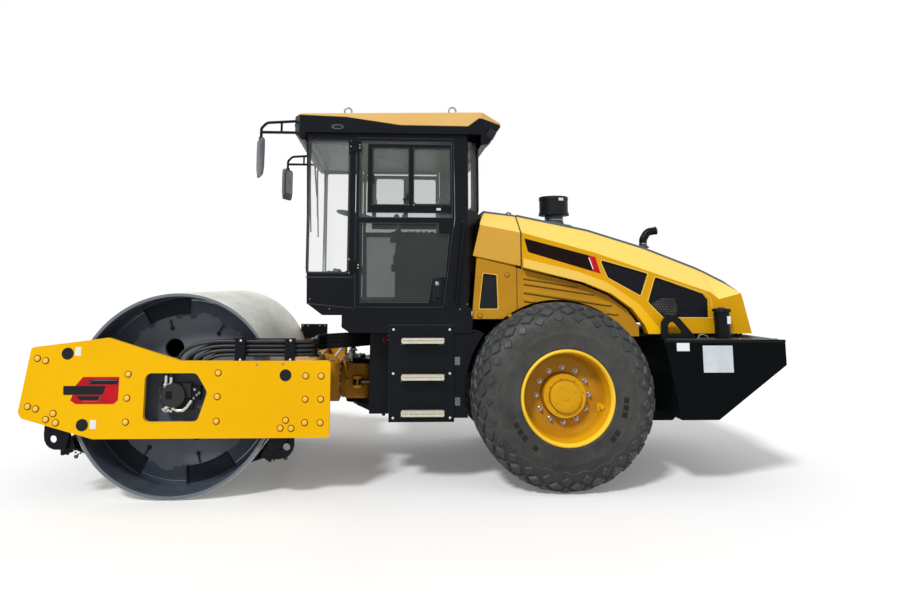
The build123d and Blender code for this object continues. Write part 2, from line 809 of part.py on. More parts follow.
# bottom Z, height, radius
cleaner_levels = [(2040, 130, 80), (2170, 86, 62), (2256, 24, 140), (2280, 150, 134)]
with BuildPart() as air_precleaner:
    for z, height, radius in cleaner_levels:
        shaft_z(cleaner_x, cleaner_y, (z, z + height), radius)
    side_slab(under_hood_top, (-hood_half, hood_half), 0, Mode.SUBTRACT)
save(air_precleaner.part, "air_precleaner")

pipe_radius = 36
pipe_x = 2200
pipe_y = -60
pipe_top = 2118
with BuildPart() as tail_pipe:
    tube_run([(pipe_x, pipe_y, 1800), (pipe_x, pipe_y, 2030), (pipe_x + 45, pipe_y, 2105),
              (pipe_x + 130, pipe_y, pipe_top)], pipe_radius, [70, 70])
    side_slab(under_hood_top, (-hood_half, hood_half), 0, Mode.SUBTRACT)
save(tail_pipe.part, "tail_pipe")

cowl_gap = 8
cowl_front_bottom_x = 474
cowl_front_top_x = 592
cowl_bottom = (1836, 1750)
# What is cut off in front of the cowl and below it.
cowl_trim = [
    (400, 2300),
    (cowl_front_top_x, 2300),
    (cowl_front_top_x, 2215),
    (540, 2112),
    (cowl_front_bottom_x, cowl_bottom[0]),
    (hood_front_x, cowl_bottom[1]),
    (hood_front_x, 1700),
    (400, 1700),
]
cowl_sections = [
    (470, 2232, 600, 2108, hood_half),
    (hood_front_x - cowl_gap, 2186, 600, 2034, hood_half),
]
with BuildPart() as cowl:
    for x, top, half_top, crease, half_crease in cowl_sections:
        with BuildSketch(Plane.YZ.offset(x)):
            Polygon(*hood_face(top, half_top, crease, half_crease, cowl_bottom[1]), align=None)
    loft(ruled=True)
    inner_faces = []
    for x, top, half_top, crease, half_crease in cowl_sections:
        with BuildSketch(Plane.YZ.offset(x), mode=Mode.PRIVATE) as inner_section:
            Polygon(*hood_face(top, half_top, crease, half_crease, cowl_bottom[1], hood_wall), align=None)
        inner_faces.append(inner_section.sketch)
    loft(inner_faces, ruled=True, mode=Mode.SUBTRACT)
    side_slab(cowl_trim, (-hood_half - 1, hood_half + 1), 0, Mode.SUBTRACT)
save(cowl.part, "cowl")

# Side panels stand on the platform and on the rail brackets, and clear the tyre by an arc.
panel_split_x = 838
panel_seam = 3
panel_arch_gap = 16
front_panel = [
    (platform_rear_x, panel_bottom),
    (505, 1822),
    (panel_split_x - panel_seam, 1742),
    (panel_split_x - panel_seam, panel_bottom),
]
vent_slot = [(516, 1396), (552, 1700), (676, 1684), (684, 1396)]
rear_panel = [
    (panel_split_x + panel_seam, 1738),
    (1372, 1607),
    (1596, 1516),
    (1758, 1398),
    (1850, 1262),
    (1850, 1180),
    (panel_split_x + panel_seam, 1180),
]
# Battens behind the seams join the two panels and carry the cowl.
batten = 12
cowl_batten = [(520, 1780), (520, 1860), (panel_split_x - 8, 1794), (panel_split_x - 8, 1690)]
with BuildPart() as side_panels:
    for name, side in SIDES:
        panel_y = spread(side, panel_out - panel, panel_out)
        side_slab(front_panel, panel_y)
        side_slab(vent_slot, panel_y, 12, Mode.SUBTRACT)
        side_slab(rear_panel, panel_y)
        shaft_y(wheel_axle_x, tyre_radius, panel_y, tyre_radius + panel_arch_gap, Mode.SUBTRACT)
        batten_y = spread(side, panel_out - panel - batten, panel_out - panel)
        block((panel_split_x - 20, panel_split_x + 20), batten_y, (1500, 1700))
        side_slab(cowl_batten, batten_y)
save(side_panels.part, "side_panels")

# ---------------------------------------------------------------- cab

cab_front_bottom_x = -885
cab_front_top_x = -918
cab_top = 2850
cab_bottom = 1408
cab_corner_x = 425
cab_corner = 140
cab_plan = [
    (-960, -cab_half),
    (cab_corner_x, -cab_half),
    (cab_rear_x, cab_corner - cab_half),
    (cab_rear_x, cab_half - cab_corner),
    (cab_corner_x, cab_half),
    (-960, cab_half),
]
cab_profile = [
    (cab_front_bottom_x, 1445),
    (-836, cab_bottom),
    (432, cab_bottom),
    (470, 1836),
    (cab_rear_x, 2232),
    (cab_rear_x, cab_top),
    (cab_front_top_x, cab_top),
]

floor_rear_x = platform_rear_x - gap
floor_outline = [(-836, cab_bottom), (-758, deck_top), (floor_rear_x, deck_top), (floor_rear_x, cab_bottom)]
with BuildPart() as cab_floor:
    side_slab(floor_outline, (-cab_half, cab_half))
save(cab_floor.part, "cab_floor")

with BuildPart() as cab_space:
    with BuildSketch(upright(cab_half)) as space_profile:
        Polygon(*cab_profile, align=None)
        offset(amount=-wall)
    extrude(space_profile.sketch, amount=2 * cab_half)
    with BuildSketch(Plane.XY.offset(cab_bottom)) as space_plan:
        Polygon(*cab_plan, align=None)
        offset(amount=-wall)
    extrude(space_plan.sketch, amount=cab_top - cab_bottom, mode=Mode.INTERSECT)

door_outline = [(-500, 1412), (-500, 2818), (314, 2818), (320, 2143), (228, 1412)]
upper_glass = [(-474, 2145), (-474, 2788), (296, 2788), (301, 2145)]
lower_glass = [
    (-466, 2102),
    (188, 2102),
    (188, 2012),
    (274, 2008),
    (240, 1660),
    (137, 1650),
    (103, 1451),
    (-456, 1449),
]
quarter_outline = [(-890, 1694), (-893, 2784), (-560, 2784), (-560, 1694)]
corner_run = (cab_rear_x - cab_corner_x, cab_corner)
corner_turn = math.degrees(math.atan2(corner_run[1], corner_run[0]))
corner_z = (2215, 2800)
corner_glass = 150
front_window_half = 720
front_window_z = (1694, 2790)
rear_window_half = 560
rear_window_z = (2270, 2780)
glass_inset = 12


def front_face(z):
    """X of the cab's leaning front face at one height."""
    return cab_front_bottom_x + (cab_front_top_x - cab_front_bottom_x) * (z - 1445) / (cab_top - 1445)


def corner_box(side, depth, inset, mode=Mode.ADD):
    """Upright box in the plane of a rear corner face, its outer side set in by the inset."""
    turn = math.radians(corner_turn)
    reach = inset + depth / 2
    x = (cab_rear_x + cab_corner_x) / 2 - reach * math.sin(turn)
    y = cab_half - cab_corner / 2 - reach * math.cos(turn)
    with Locations(Location((x, side * y, sum(corner_z) / 2), (0, 0, -side * corner_turn))):
        Box(corner_glass, depth, corner_z[1] - corner_z[0], mode=mode)


with BuildPart() as cab_frame:
    side_slab(cab_profile, (-cab_half, cab_half))
    with BuildSketch(Plane.XY.offset(cab_bottom)) as shell_plan:
        Polygon(*cab_plan, align=None)
    extrude(shell_plan.sketch, amount=cab_top - cab_bottom, mode=Mode.INTERSECT)
    add(cab_space.part, mode=Mode.SUBTRACT)
    block((-1000, -820), (-front_window_half, front_window_half), front_window_z, Mode.SUBTRACT)
    block((470, 600), (-rear_window_half, rear_window_half), rear_window_z, Mode.SUBTRACT)
    side_slab(quarter_outline, (-cab_half - 1, cab_half + 1), 0, Mode.SUBTRACT)
    for name, side in SIDES:
        with BuildSketch(upright(max(spread(side, cab_half - wall - gap, cab_half + gap)))) as doorway:
            Polygon(*door_outline, align=None)
            offset(amount=gap)
        extrude(doorway.sketch, amount=wall + 2 * gap, mode=Mode.SUBTRACT)
        corner_box(side, wall + 80, -40, Mode.SUBTRACT)
save(cab_frame.part, "cab_frame")

with BuildPart() as cab_glass:
    low, high = front_window_z
    side_slab([
        (front_face(low) + glass_inset, low),
        (front_face(high) + glass_inset, high),
        (front_face(high) + glass_inset + glass, high),
        (front_face(low) + glass_inset + glass, low),
    ], (-front_window_half, front_window_half))
    rear_pane_x = (cab_rear_x - glass_inset - glass, cab_rear_x - glass_inset)
    block(rear_pane_x, (-rear_window_half, rear_window_half), rear_window_z)
    for name, side in SIDES:
        side_slab(quarter_outline, spread(side, cab_half - glass_inset - glass, cab_half - glass_inset))
        corner_box(side, glass, glass_inset)
save(cab_glass.part, "cab_glass")

# Doors hinge at their front edge. The pillar holds each pin in two knuckles, and the door's
# knuckle turns on it between them.
hinge_x = -508
hinge_y = cab_half + 12
hinge_pin = 6
hinge_knuckle = 11
hinge_leaf = 8
hinge_spots = (1742, 2738)
hinge_height = 90
door_knuckle = 40
for name, side in SIDES:
    with BuildPart() as door:
        side_slab(door_outline, spread(side, cab_half - wall, cab_half))
        for outline in (upper_glass, lower_glass):
            side_slab(outline, spread(side, cab_half - wall, cab_half), 0, Mode.SUBTRACT)
        for z in hinge_spots:
            height = (z - door_knuckle / 2, z + door_knuckle / 2)
            shaft_z(hinge_x, side * hinge_y, height, hinge_knuckle)
            block((hinge_x, hinge_x + 48), spread(side, hinge_y - hinge_leaf, hinge_y), height)
            block((door_outline[0][0] + 4, hinge_x + 48), spread(side, cab_half, hinge_y), height)
            shaft_z(hinge_x, side * hinge_y, height, hinge_pin + pin_clearance, Mode.SUBTRACT)
    save(door.part, f"door_{name}")
    with BuildPart() as door_glass:
        for outline in (upper_glass, lower_glass):
            side_slab(outline, spread(side, cab_half - glass_inset - glass, cab_half - glass_inset))
    save(door_glass.part, f"door_glass_{name}")

with BuildPart() as door_hinges:
    for name, side in SIDES:
        for z in hinge_spots:
            shaft_z(hinge_x, side * hinge_y, (z - hinge_height / 2, z + hinge_height / 2), hinge_pin)
            for height in ((z - hinge_height / 2, z - door_knuckle / 2 - 0.5),
                           (z + door_knuckle / 2 + 0.5, z + hinge_height / 2)):
                shaft_z(hinge_x, side * hinge_y, height, hinge_knuckle)
                block((hinge_x - 44, hinge_x), spread(side, cab_half, hinge_y), height)
save(door_hinges.part, "door_hinges")

# ---------------------------------------------------------------- roof and mirrors

roof_plan = [
    (-1024, -800),
    (-975, -roof_half),
    (560, -roof_half),
    (722, -780),
    (722, 780),
    (560, roof_half),
    (-975, roof_half),
    (-1024, 800),
]
roof_low_z = 2700
roof_reach = 400
roof_seam = [(-1024, 2999), (-597, 2985), (-141, 2921), (430, 2919), (525, 2990), (722, 2954)]
visor = [(-926, cab_top), (-926, 2788), (-957, 2786), (-1022, cab_top)]
roof_tail = [(722, 2938), (600, 2770), (cab_rear_x + 1, 2758), (cab_rear_x + 1, cab_top)]
roof_crown = [(722, 2972), (548, roof_top), (-958, 3012)]
with BuildPart() as roof_base:
    side_slab(roof_seam + roof_tail + visor, (-roof_half, roof_half))
    with BuildSketch(Plane.XY.offset(roof_low_z)) as base_plan:
        Polygon(*roof_plan, align=None)
    extrude(base_plan.sketch, amount=roof_reach, mode=Mode.INTERSECT)
save(roof_base.part, "roof_base")

with BuildPart() as roof_cap:
    side_slab(roof_seam + roof_crown, (-roof_half, roof_half))
    with BuildSketch(Plane.XY.offset(roof_low_z)) as cap_plan:
        Polygon(*roof_plan, align=None)
    extrude(cap_plan.sketch, amount=roof_reach, mode=Mode.INTERSECT)
save(roof_cap.part, "roof_cap")

ring_radius = 30
ring_wire = 7
ring_y = 840
# X of the ring, Z of the roof there
ring_spots = [(-578, 3019.6), (302, 3037)]
with BuildPart() as lifting_rings:
    for name, side in SIDES:
        for x, z in ring_spots:
            with Locations(Location((x, side * ring_y, z + 22), (90, 0, 0))):
                Torus(ring_radius, ring_wire)
            block((x - 45, x + 45), spread(side, ring_y - 20, ring_y + 20), (z - 40, z + 1.5), Mode.SUBTRACT)
save(lifting_rings.part, "lifting_rings")

mirror_y = 775
mirror_thick = 45
mirror_turn = 20
mirror_round = 30
mirror_z = (2480, 2813)
mirror_half = 95
arm_radius = 12
arm_start_x = -1024.3
arm_top_z = 2966
arm_low_z = 2868
arm_drop_x = -1309
strut_x = -1140
strut_radius = 9.6
with BuildPart() as mirror_arms:
    for name, side in SIDES:
        y = side * mirror_y
        tube_run([
            (arm_start_x, y, arm_top_z),
            (-1262, y, 2950),
            (arm_drop_x, y, 2903),
            (arm_drop_x, y, mirror_z[1]),
        ], arm_radius, [40, 40])
        shaft_x(y, arm_low_z, (arm_drop_x, arm_start_x), arm_radius)
        shaft_z(strut_x, y, (arm_low_z, 2955), strut_radius)
save(mirror_arms.part, "mirror_arms")

# Each mirror is turned about its arm, so that its face looks back at the driver.
turn_x = math.cos(math.radians(mirror_turn))
turn_y = math.sin(math.radians(mirror_turn))
mirror_middle = (mirror_z[0] + mirror_z[1]) / 2
with BuildPart() as mirrors:
    for name, side in SIDES:
        face = Plane(origin=(arm_drop_x, side * mirror_y, mirror_middle),
                     x_dir=(side * turn_y, turn_x, 0), z_dir=(turn_x, -side * turn_y, 0))
        with BuildSketch(face):
            RectangleRounded(2 * mirror_half, mirror_z[1] - mirror_z[0], mirror_round)
        extrude(amount=mirror_thick / 2, both=True)
save(mirrors.part, "mirrors")

# ---------------------------------------------------------------- operator's place

floor_z = cab_bottom + wall
seat_x = (-200, 232)
seat_half = 240
seat_base_z = 1780
cushion = 110
back_z = (1880, 2440)
back_x = (236, 346)
soft_gap = 0.5
pan_bottom_z = seat_base_z - 60
pedestal_x = (-150, 300)
pedestal_half = 180
back_plate_half = 200
back_plate_top = 2300
with BuildPart() as seat_base:
    block(pedestal_x, (-pedestal_half, pedestal_half), (floor_z, pan_bottom_z))
    block((seat_x[0], back_x[1] + soft_gap), (-seat_half, seat_half), (pan_bottom_z, seat_base_z))
    back_plate_x = (back_x[1] + soft_gap, back_x[1] + 24)
    block(back_plate_x, (-back_plate_half, back_plate_half), (pan_bottom_z, back_plate_top))
save(seat_base.part, "seat_base")

with BuildPart() as seat_cushion:
    block(seat_x, (-seat_half, seat_half), (seat_base_z + soft_gap, seat_base_z + cushion))
    fillet(seat_cushion.edges().filter_by(Axis.Z), 50)
save(seat_cushion.part, "seat_cushion")

with BuildPart() as seat_back:
    block(back_x, (-seat_half, seat_half), (seat_base_z + soft_gap, back_z[1]))
    fillet(seat_back.edges().filter_by(Axis.X), 50)
save(seat_back.part, "seat_back")

console_x = (-160, 330)
console_y = (270, 420)
console_top = 2010
with BuildPart() as side_consoles:
    for name, side in SIDES:
        block(console_x, spread(side, *console_y), (floor_z, console_top))
        fillet(side_consoles.edges().filter_by(Axis.Y).group_by(Axis.Z)[-1], 40)
save(side_consoles.part, "side_consoles")

# The steering wheel turns on the end of its column, whose top lies square to the wheel's axis.
wheel_centre = (-530, 2245)
steer_tilt = 12
rim_major = 185
rim_minor = 13
hub_to_column = 120
column_half_top = 45
column_half_width = 130
wheel_hub = 34
wheel_hub_height = 26
spoke = 12
shaft_radius = 20
lean_x = math.sin(math.radians(steer_tilt))
lean_z = math.cos(math.radians(steer_tilt))
column_top = (wheel_centre[0] - hub_to_column * lean_x, wheel_centre[1] - hub_to_column * lean_z)
column = [
    (-610, floor_z),
    (-480, floor_z),
    (column_top[0] + column_half_top * lean_z, column_top[1] - column_half_top * lean_x),
    (column_top[0] - column_half_top * lean_z, column_top[1] + column_half_top * lean_x),
]
with BuildPart() as steering_column:
    side_slab(column, (-column_half_width, column_half_width))
save(steering_column.part, "steering_column")

with BuildPart() as steering_wheel:
    with Locations(Location((wheel_centre[0], 0, wheel_centre[1]), (0, steer_tilt, 0))):
        Torus(rim_major, rim_minor)
        Cylinder(wheel_hub, wheel_hub_height)
        Box(2 * rim_major - 8, wheel_hub_height, spoke)
        Cylinder(shaft_radius, hub_to_column - seat_gap, align=(Align.CENTER, Align.CENTER, Align.MAX))
save(steering_wheel.part, "steering_wheel")
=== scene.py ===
import random
from math import acos, copysign, cos, exp, hypot, radians, sin, tan, tau

import bmesh
import bpy
from mathutils import Matrix, Vector


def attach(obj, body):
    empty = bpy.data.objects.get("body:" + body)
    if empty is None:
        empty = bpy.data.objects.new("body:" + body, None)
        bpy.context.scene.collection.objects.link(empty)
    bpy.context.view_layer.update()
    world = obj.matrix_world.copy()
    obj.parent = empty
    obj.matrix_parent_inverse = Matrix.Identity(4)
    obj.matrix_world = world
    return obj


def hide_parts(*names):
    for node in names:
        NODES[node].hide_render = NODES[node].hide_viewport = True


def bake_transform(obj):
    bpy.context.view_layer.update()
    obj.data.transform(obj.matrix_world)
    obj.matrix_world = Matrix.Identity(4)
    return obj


# Looks of a single-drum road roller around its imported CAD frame. Metres, in the row frame:
# X runs from the drum to the counterweight, +Y is the machine's right, Z = 0 is the ground.

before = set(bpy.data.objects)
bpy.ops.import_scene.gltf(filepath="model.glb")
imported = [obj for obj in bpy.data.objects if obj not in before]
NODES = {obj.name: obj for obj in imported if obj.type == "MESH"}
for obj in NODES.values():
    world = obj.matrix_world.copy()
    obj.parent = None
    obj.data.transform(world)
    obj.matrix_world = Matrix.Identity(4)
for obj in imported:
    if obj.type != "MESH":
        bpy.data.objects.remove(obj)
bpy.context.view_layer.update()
SIDES = (("left", -1), ("right", 1))
DICE = random.Random(7)
MM = 0.001
UP, OUT = (0, 0, 1), (0, 1, 0)
AXLE, WHEEL = (-1837, 764), (1174, 730)  # centres (X, Z) of the drum and of the rear wheels, in millimetres

# ---------------------------------------------------------------- colours and materials


def linear(colour):
    """A screen colour (0-255) as the linear colour that shaders use."""
    parts = [c / 255 for c in colour]
    return tuple(c / 12.92 if c <= 0.04045 else ((c + 0.055) / 1.055) ** 2.4 for c in parts) + (1.0,)


class Finish:
    """One procedural material, put together from small steps. Fixed colours are screen colours.

    It starts as soft blotches of two tones: the noise's scale, detail and two levels, then the colours.
    """

    def __init__(self, name, *blotches):
        self.material = bpy.data.materials.new(name)
        self.material.use_nodes = True
        self.nodes = self.material.node_tree.nodes
        self.shader = self.nodes["Principled BSDF"]
        self.place = self.node("TexCoord").outputs["Object"]
        self.tone = self.blotches(*blotches)

    def put(self, socket, value):
        """The socket gets a number, a colour, a vector or what another node gives."""
        if isinstance(value, bpy.types.NodeSocket):
            self.material.node_tree.links.new(value, socket)
        else:
            socket.default_value = linear(value) if socket.type == "RGBA" and len(value) == 3 else value

    def node(self, kind, *values, **named):
        """A new shader node with its inputs set, in their order or by name."""
        node = self.nodes.new("ShaderNode" + kind)
        for key, value in (*enumerate(values), *named.items()):
            self.put(node.inputs[key], value)
        return node

    def spot(self, stretch):
        """The place on the piece, stretched along its axes."""
        return self.node("Mapping", self.place, Scale=stretch).outputs[0] if stretch else self.place

    def noise(self, scale, detail, stretch=None):
        return self.node("TexNoise", self.spot(stretch), Scale=scale, Detail=detail,
                         Roughness=0.55).outputs["Fac"]

    def cells(self, scale, stretch=None):
        return self.node("TexVoronoi", self.spot(stretch), Scale=scale).outputs["Distance"]

    def ramp(self, value, low, high, out_low=0.0, out_high=1.0):
        return self.node("MapRange", value, low, high, out_low, out_high).outputs["Result"]

    def spots(self, scale, detail, low, high, out_low=0.0, out_high=1.0, stretch=None):
        """Soft blotches: a noise taken from its low and high levels to two numbers."""
        return self.ramp(self.noise(scale, detail, stretch), low, high, out_low, out_high)

    def maths(self, operation, first, second=0.0):
        node = self.node("Math", first, second)
        node.operation = operation
        return node.outputs[0]

    def times(self, first, second):
        return self.maths("MULTIPLY", first, second)

    def plus(self, first, second):
        return self.maths("ADD", first, second)

    def mix(self, share, first, second):
        """Colour between two colours, each a fixed colour or another mix."""
        node = self.node("Mix", share)
        node.data_type = "RGBA"
        self.put(node.inputs[6], first)
        self.put(node.inputs[7], second)
        return node.outputs[2]

    def blotches(self, scale, detail, low, high, first, second, stretch=None):
        return self.mix(self.spots(scale, detail, low, high, stretch=stretch), first, second)

    def over(self, share, colour):
        """Another colour over the tone so far, by a share of 0 to 1."""
        self.tone = self.mix(share, self.tone, colour)

    def along(self, axis, source=None):
        return self.node("SeparateXYZ", source or self.place).outputs[axis]

    def from_axle(self, centre):
        """Distance in metres from an axle across the machine."""
        across, above = (self.plus(self.along(axis), -c * MM) for axis, c in zip("XZ", centre))
        return self.maths("POWER", self.plus(self.times(across, across), self.times(above, above)), 0.5)

    def low(self, top, fade=0.5):
        """1 near the ground, 0 above the given height."""
        return self.ramp(self.along("Z"), top, top - fade)

    def face(self):
        return self.node("NewGeometry").outputs["Normal"]

    def worn(self, edge_colour):
        """Another colour along edges, in patches: partly wear, partly a painted highlight where rounded edges
        catch the light.
        """
        round_normal = self.node("Bevel", Radius=0.005)
        round_normal.samples = 3
        dot = self.node("VectorMath", round_normal.outputs[0], self.face())
        dot.operation = "DOT_PRODUCT"
        edges = self.ramp(dot.outputs["Value"], 0.99, 0.80)
        self.over(self.times(edges, self.spots(55, 5, 0.45, 0.62, 0.12, 0.85)), edge_colour)

    def bump(self, height, distance, strength):
        node = self.node("Bump", Distance=distance, Strength=strength, Height=height)
        normal = self.shader.inputs["Normal"]
        if normal.is_linked:
            self.put(node.inputs["Normal"], normal.links[0].from_socket)
        self.put(normal, node.outputs["Normal"])
        return self

    def peel(self):
        """The fine texture of sprayed paint."""
        return self.bump(self.noise(420, 2), 0.0004, 0.35)

    def set(self, roughness, **values):
        """The finished material; its roughness is a number, or a noise's scale, detail, levels and ends."""
        self.put(self.shader.inputs["Base Color"], self.tone)
        rough = self.spots(*roughness) if isinstance(roughness, tuple) else roughness
        self.put(self.shader.inputs["Roughness"], rough)
        for name, value in values.items():
            self.shader.inputs[name.replace("_", " ").title().replace("Ior", "IOR")].default_value = value
        return self.material


def painted(name, colour, second, rough=0.40, dust=None, worn_lit_edge=None, gloss=0.2, grime=0.10):
    """Sprayed paint: slow change of tone, orange peel, soft grime, dust low down, and edges lightened by wear
    and by a painted highlight.
    """
    f = Finish(name, 1.3, 3, 0.35, 0.68, colour, second)
    dirty = (*(c * 0.45 for c in linear(second)[:3]), 1.0)
    f.over(f.times(f.spots(7, 6, 0.5, 0.78, stretch=(1, 1, 0.35)), grime), dirty)
    if dust:
        f.over(f.times(f.times(f.low(0.5), f.spots(22, 6, 0.38, 0.72)), 0.55), dust)
    if worn_lit_edge:
        f.worn(worn_lit_edge)
    f.peel().bump(f.noise(5, 3), 0.003, 0.12)
    return f.set((34, 5, 0.3, 0.75, rough - 0.07, rough + 0.13), specular_ior_level=gloss)


def lit_cover_paint(name, colour, second):
    """The engine cover's paint, with painted light: deep golden on upright faces as painted shade, pale on
    faces turned to the sky as a painted sky reflection, and a painted highlight on the flared lip.
    """
    f = Finish(name, 1.3, 3, 0.35, 0.68, colour, second)
    # Painted highlight on the flared lip: pale at the front, deep yellow towards the rear.
    flare_highlight = f.mix(f.ramp(f.along("X"), 1.35, 1.9), (250, 208, 96), (250, 192, 8))
    f.over(f.ramp(f.maths("ABSOLUTE", f.along("Y")), 0.835, 0.86), flare_highlight)
    # Painted sky reflection: pale on faces turned upwards.
    f.over(f.ramp(f.along("Z", f.face()), 0.12, 0.32), (250, 212, 104))
    # Edges lightened by wear and by a painted highlight.
    f.worn((255, 226, 130))
    return f.peel().set((34, 5, 0.3, 0.75, 0.33, 0.53), specular_ior_level=0.12)


def lit_wheel_paint():
    """The rim's paint, with painted light: painted shade makes it deeper outside the hub, and a painted
    highlight makes it bright towards the outer lip.
    """
    f = Finish("rim_paint_lit", 3, 4, 0.35, 0.68, (226, 172, 8), (212, 156, 4))
    dish_shade = f.blotches(5, 5, 0.35, 0.7, (190, 138, 24), (174, 122, 16))
    centre = f.from_axle(WHEEL)
    # Painted shade outside the hub, then a painted highlight in two steps towards the lip.
    for start, end, ring in ((0.168, 0.172, dish_shade), (0.318, 0.330, (226, 168, 20)),
                             (0.339, 0.342, (255, 210, 52))):
        f.over(f.ramp(centre, start, end), ring)
    return f.peel().set((34, 5, 0.3, 0.75, 0.3, 0.5), specular_ior_level=0.2)


def metal(name, colour, second, rough=0.3, scale=60, metallic=1.0):
    """Bare or plated metal with machining marks."""
    f = Finish(name, scale, 6, 0.3, 0.7, colour, second)
    f.bump(f.noise(scale * 4, 4), 0.0006, 0.5)
    return f.set((scale * 0.6, 5, 0.3, 0.7, rough - 0.08, rough + 0.14), metallic=metallic)


def moulded(name, colour, second, rough=0.55, grain=700, depth=0.0006, gloss=0.2):
    """Moulded plastic or rubber with a fine grain."""
    f = Finish(name, 9, 5, 0.35, 0.7, colour, second)
    f.bump(f.cells(grain), depth, 0.4)
    return f.set((26, 4, 0.3, 0.7, rough - 0.08, rough + 0.12), specular_ior_level=gloss)


def tyre_rubber():
    f = Finish("tyre", 4, 6, 0.35, 0.7, (66, 66, 64), (42, 42, 42))
    f.over(f.times(f.spots(11, 7, 0.5, 0.72), 0.35), (92, 86, 78))
    # Darker towards the ground: painted shade on the tyre's lower part.
    f.over(f.times(f.low(0.6, 0.55), 0.6), (30, 31, 32))
    f.bump(f.noise(160, 5), 0.0012, 0.6)
    return f.set((30, 5, 0.3, 0.7, 0.42, 0.7), specular_ior_level=0.35)


def rolled_steel():
    """The drum's outside: pale steel rubbed by wear, with streaks round the drum and warm stains."""
    f = Finish("drum_steel", 9, 6, 0.3, 0.72, (236, 238, 230), (212, 212, 200), (1, 0.12, 1))
    f.over(f.times(f.spots(3.2, 5, 0.5, 0.74, stretch=(1, 0.5, 1)), 0.55), (186, 180, 160))
    centre = f.from_axle(AXLE)
    f.over(f.ramp(centre, 0.7610, 0.7600), (112, 118, 126))
    f.over(f.ramp(centre, 0.7440, 0.7350), f.blotches(7, 5, 0.35, 0.7, (88, 96, 108), (70, 78, 90)))
    f.bump(f.noise(90, 5, (1, 0.1, 1)), 0.0008, 0.5)
    return f.set((20, 5, 0.3, 0.7, 0.34, 0.6), metallic=0.25)


def pane(name, colour, second, alpha):
    """Tinted glass with faint smears."""
    f = Finish(name, 2.0, 4, 0.3, 0.7, colour, second)
    f.bump(f.noise(1.5, 1), 0.001, 0.03)
    return f.set((14, 6, 0.35, 0.75, 0.02, 0.08), alpha=alpha, ior=1.45, specular_ior_level=0.35)


def vinyl():
    f = Finish("seat_vinyl", 6, 5, 0.35, 0.7, (46, 47, 50), (34, 35, 38))
    f.bump(f.cells(420), 0.0012, 0.5).bump(f.noise(14, 4), 0.004, 0.3)
    return f.set((20, 4, 0.3, 0.7, 0.45, 0.65))


def anti_slip():
    """Black deck plate with raised tears."""
    f = Finish("anti_slip", 9, 6, 0.4, 0.7, (40, 42, 45), (84, 82, 78))
    f.bump(f.ramp(f.cells(38, (1, 2.2, 1)), 0.14, 0.30, 1.0, 0.0), 0.003, 0.9)
    return f.set((30, 5, 0.3, 0.7, 0.45, 0.7))


def mud():
    f = Finish("dry_mud", 40, 6, 0.35, 0.68, (120, 98, 72), (70, 58, 46))
    return f.bump(f.noise(90, 6), 0.006, 0.9).set((60, 4, 0.3, 0.7, 0.8, 0.95))


def drum_end():
    """The drum's end plate: slate, with a lighter zone inside a wavy line."""
    f = Finish("disc_paint", 3, 4, 0.35, 0.7, (84, 93, 108), (70, 79, 94))
    wave = f.plus(f.spots(6, 3, 0.3, 0.7, -0.05, 0.05), f.from_axle(AXLE))
    f.over(f.ramp(wave, 0.594, 0.587), f.blotches(5, 5, 0.35, 0.7, (122, 128, 136), (108, 114, 124)))
    f.bump(f.noise(60, 4), 0.0008, 0.4)
    return f.set((24, 4, 0.3, 0.7, 0.42, 0.62), specular_ior_level=0.25)


YELLOW = painted("yellow_paint", (253, 194, 0), (247, 185, 0), worn_lit_edge=(255, 220, 96), gloss=0.12, grime=0.05)
HOOD_LIT_PAINT = lit_cover_paint("hood_paint_lit", (222, 166, 12), (214, 156, 6))
COWL_LIT_PAINT = lit_cover_paint("cowl_paint_lit", (222, 172, 72), (214, 162, 60))
# The body yellow darkened: painted shade for the side panels under the cover's flared lip.
SHADED_PANEL_YELLOW = painted("panel_paint_shaded", (198, 146, 36), (184, 130, 28), gloss=0.12, grime=0.1)
RIM_YELLOW = painted("hub_paint", (226, 172, 8), (212, 156, 4), 0.34, gloss=0.22, grime=0.12)
RIM_LIT_PAINT = lit_wheel_paint()
# The body yellow darkened: painted shade for the hitch and the rear crossmember.
SHADED_YELLOW = painted("yellow_paint_shaded", (210, 150, 36), (186, 126, 26), 0.42, grime=0.25)
# The body yellow made paler: painted sky reflection on the roof.
SKY_LIT_ROOF = painted("roof_paint", (240, 196, 122), (234, 188, 108), 0.45, grime=0.05)
BLACK = painted("black_paint", (12, 16, 22), (8, 11, 16), 0.38, worn_lit_edge=(44, 49, 56), gloss=0.13, grime=0.05)
WEIGHT_PAINT = painted("weight_paint", (3, 7, 9), (2, 5, 7), 0.5, worn_lit_edge=(36, 41, 48), gloss=0.06, grime=0.05)
SLATE = painted("dark_paint", (78, 86, 98), (62, 70, 82), 0.5, (84, 88, 92), (120, 128, 138))
IRON = painted("engine_iron", (52, 54, 56), (38, 38, 38), 0.6, grime=0.4)
STEEL = metal("machined_steel", (168, 168, 164), (120, 118, 112), 0.34)
CHROME = metal("chrome", (214, 214, 212), (176, 176, 174), 0.16)
RUBBER = moulded("rubber", (26, 28, 32), (18, 20, 23), 0.34, 500, gloss=0.4)
PLASTIC = moulded("black_plastic", (22, 25, 29), (15, 17, 20), 0.5)
GREY_PLASTIC = moulded("gray_plastic", (112, 116, 120), (92, 96, 100), 0.5)
LABEL = moulded("label_film", (244, 246, 246), (234, 236, 238), 0.45, 300, 0.0001)
RED = moulded("red_film", (206, 14, 34), (176, 10, 26), 0.3, 300, 0.0001)
WHITE = moulded("white_plastic", (236, 236, 232), (220, 220, 214), 0.4)
# Brown: painted shade in the recessed ring round each plate bolt.
BOLT_RING_SHADE = moulded("bolt_ring_shade", (128, 66, 0), (104, 50, 0), 0.6, gloss=0.02)
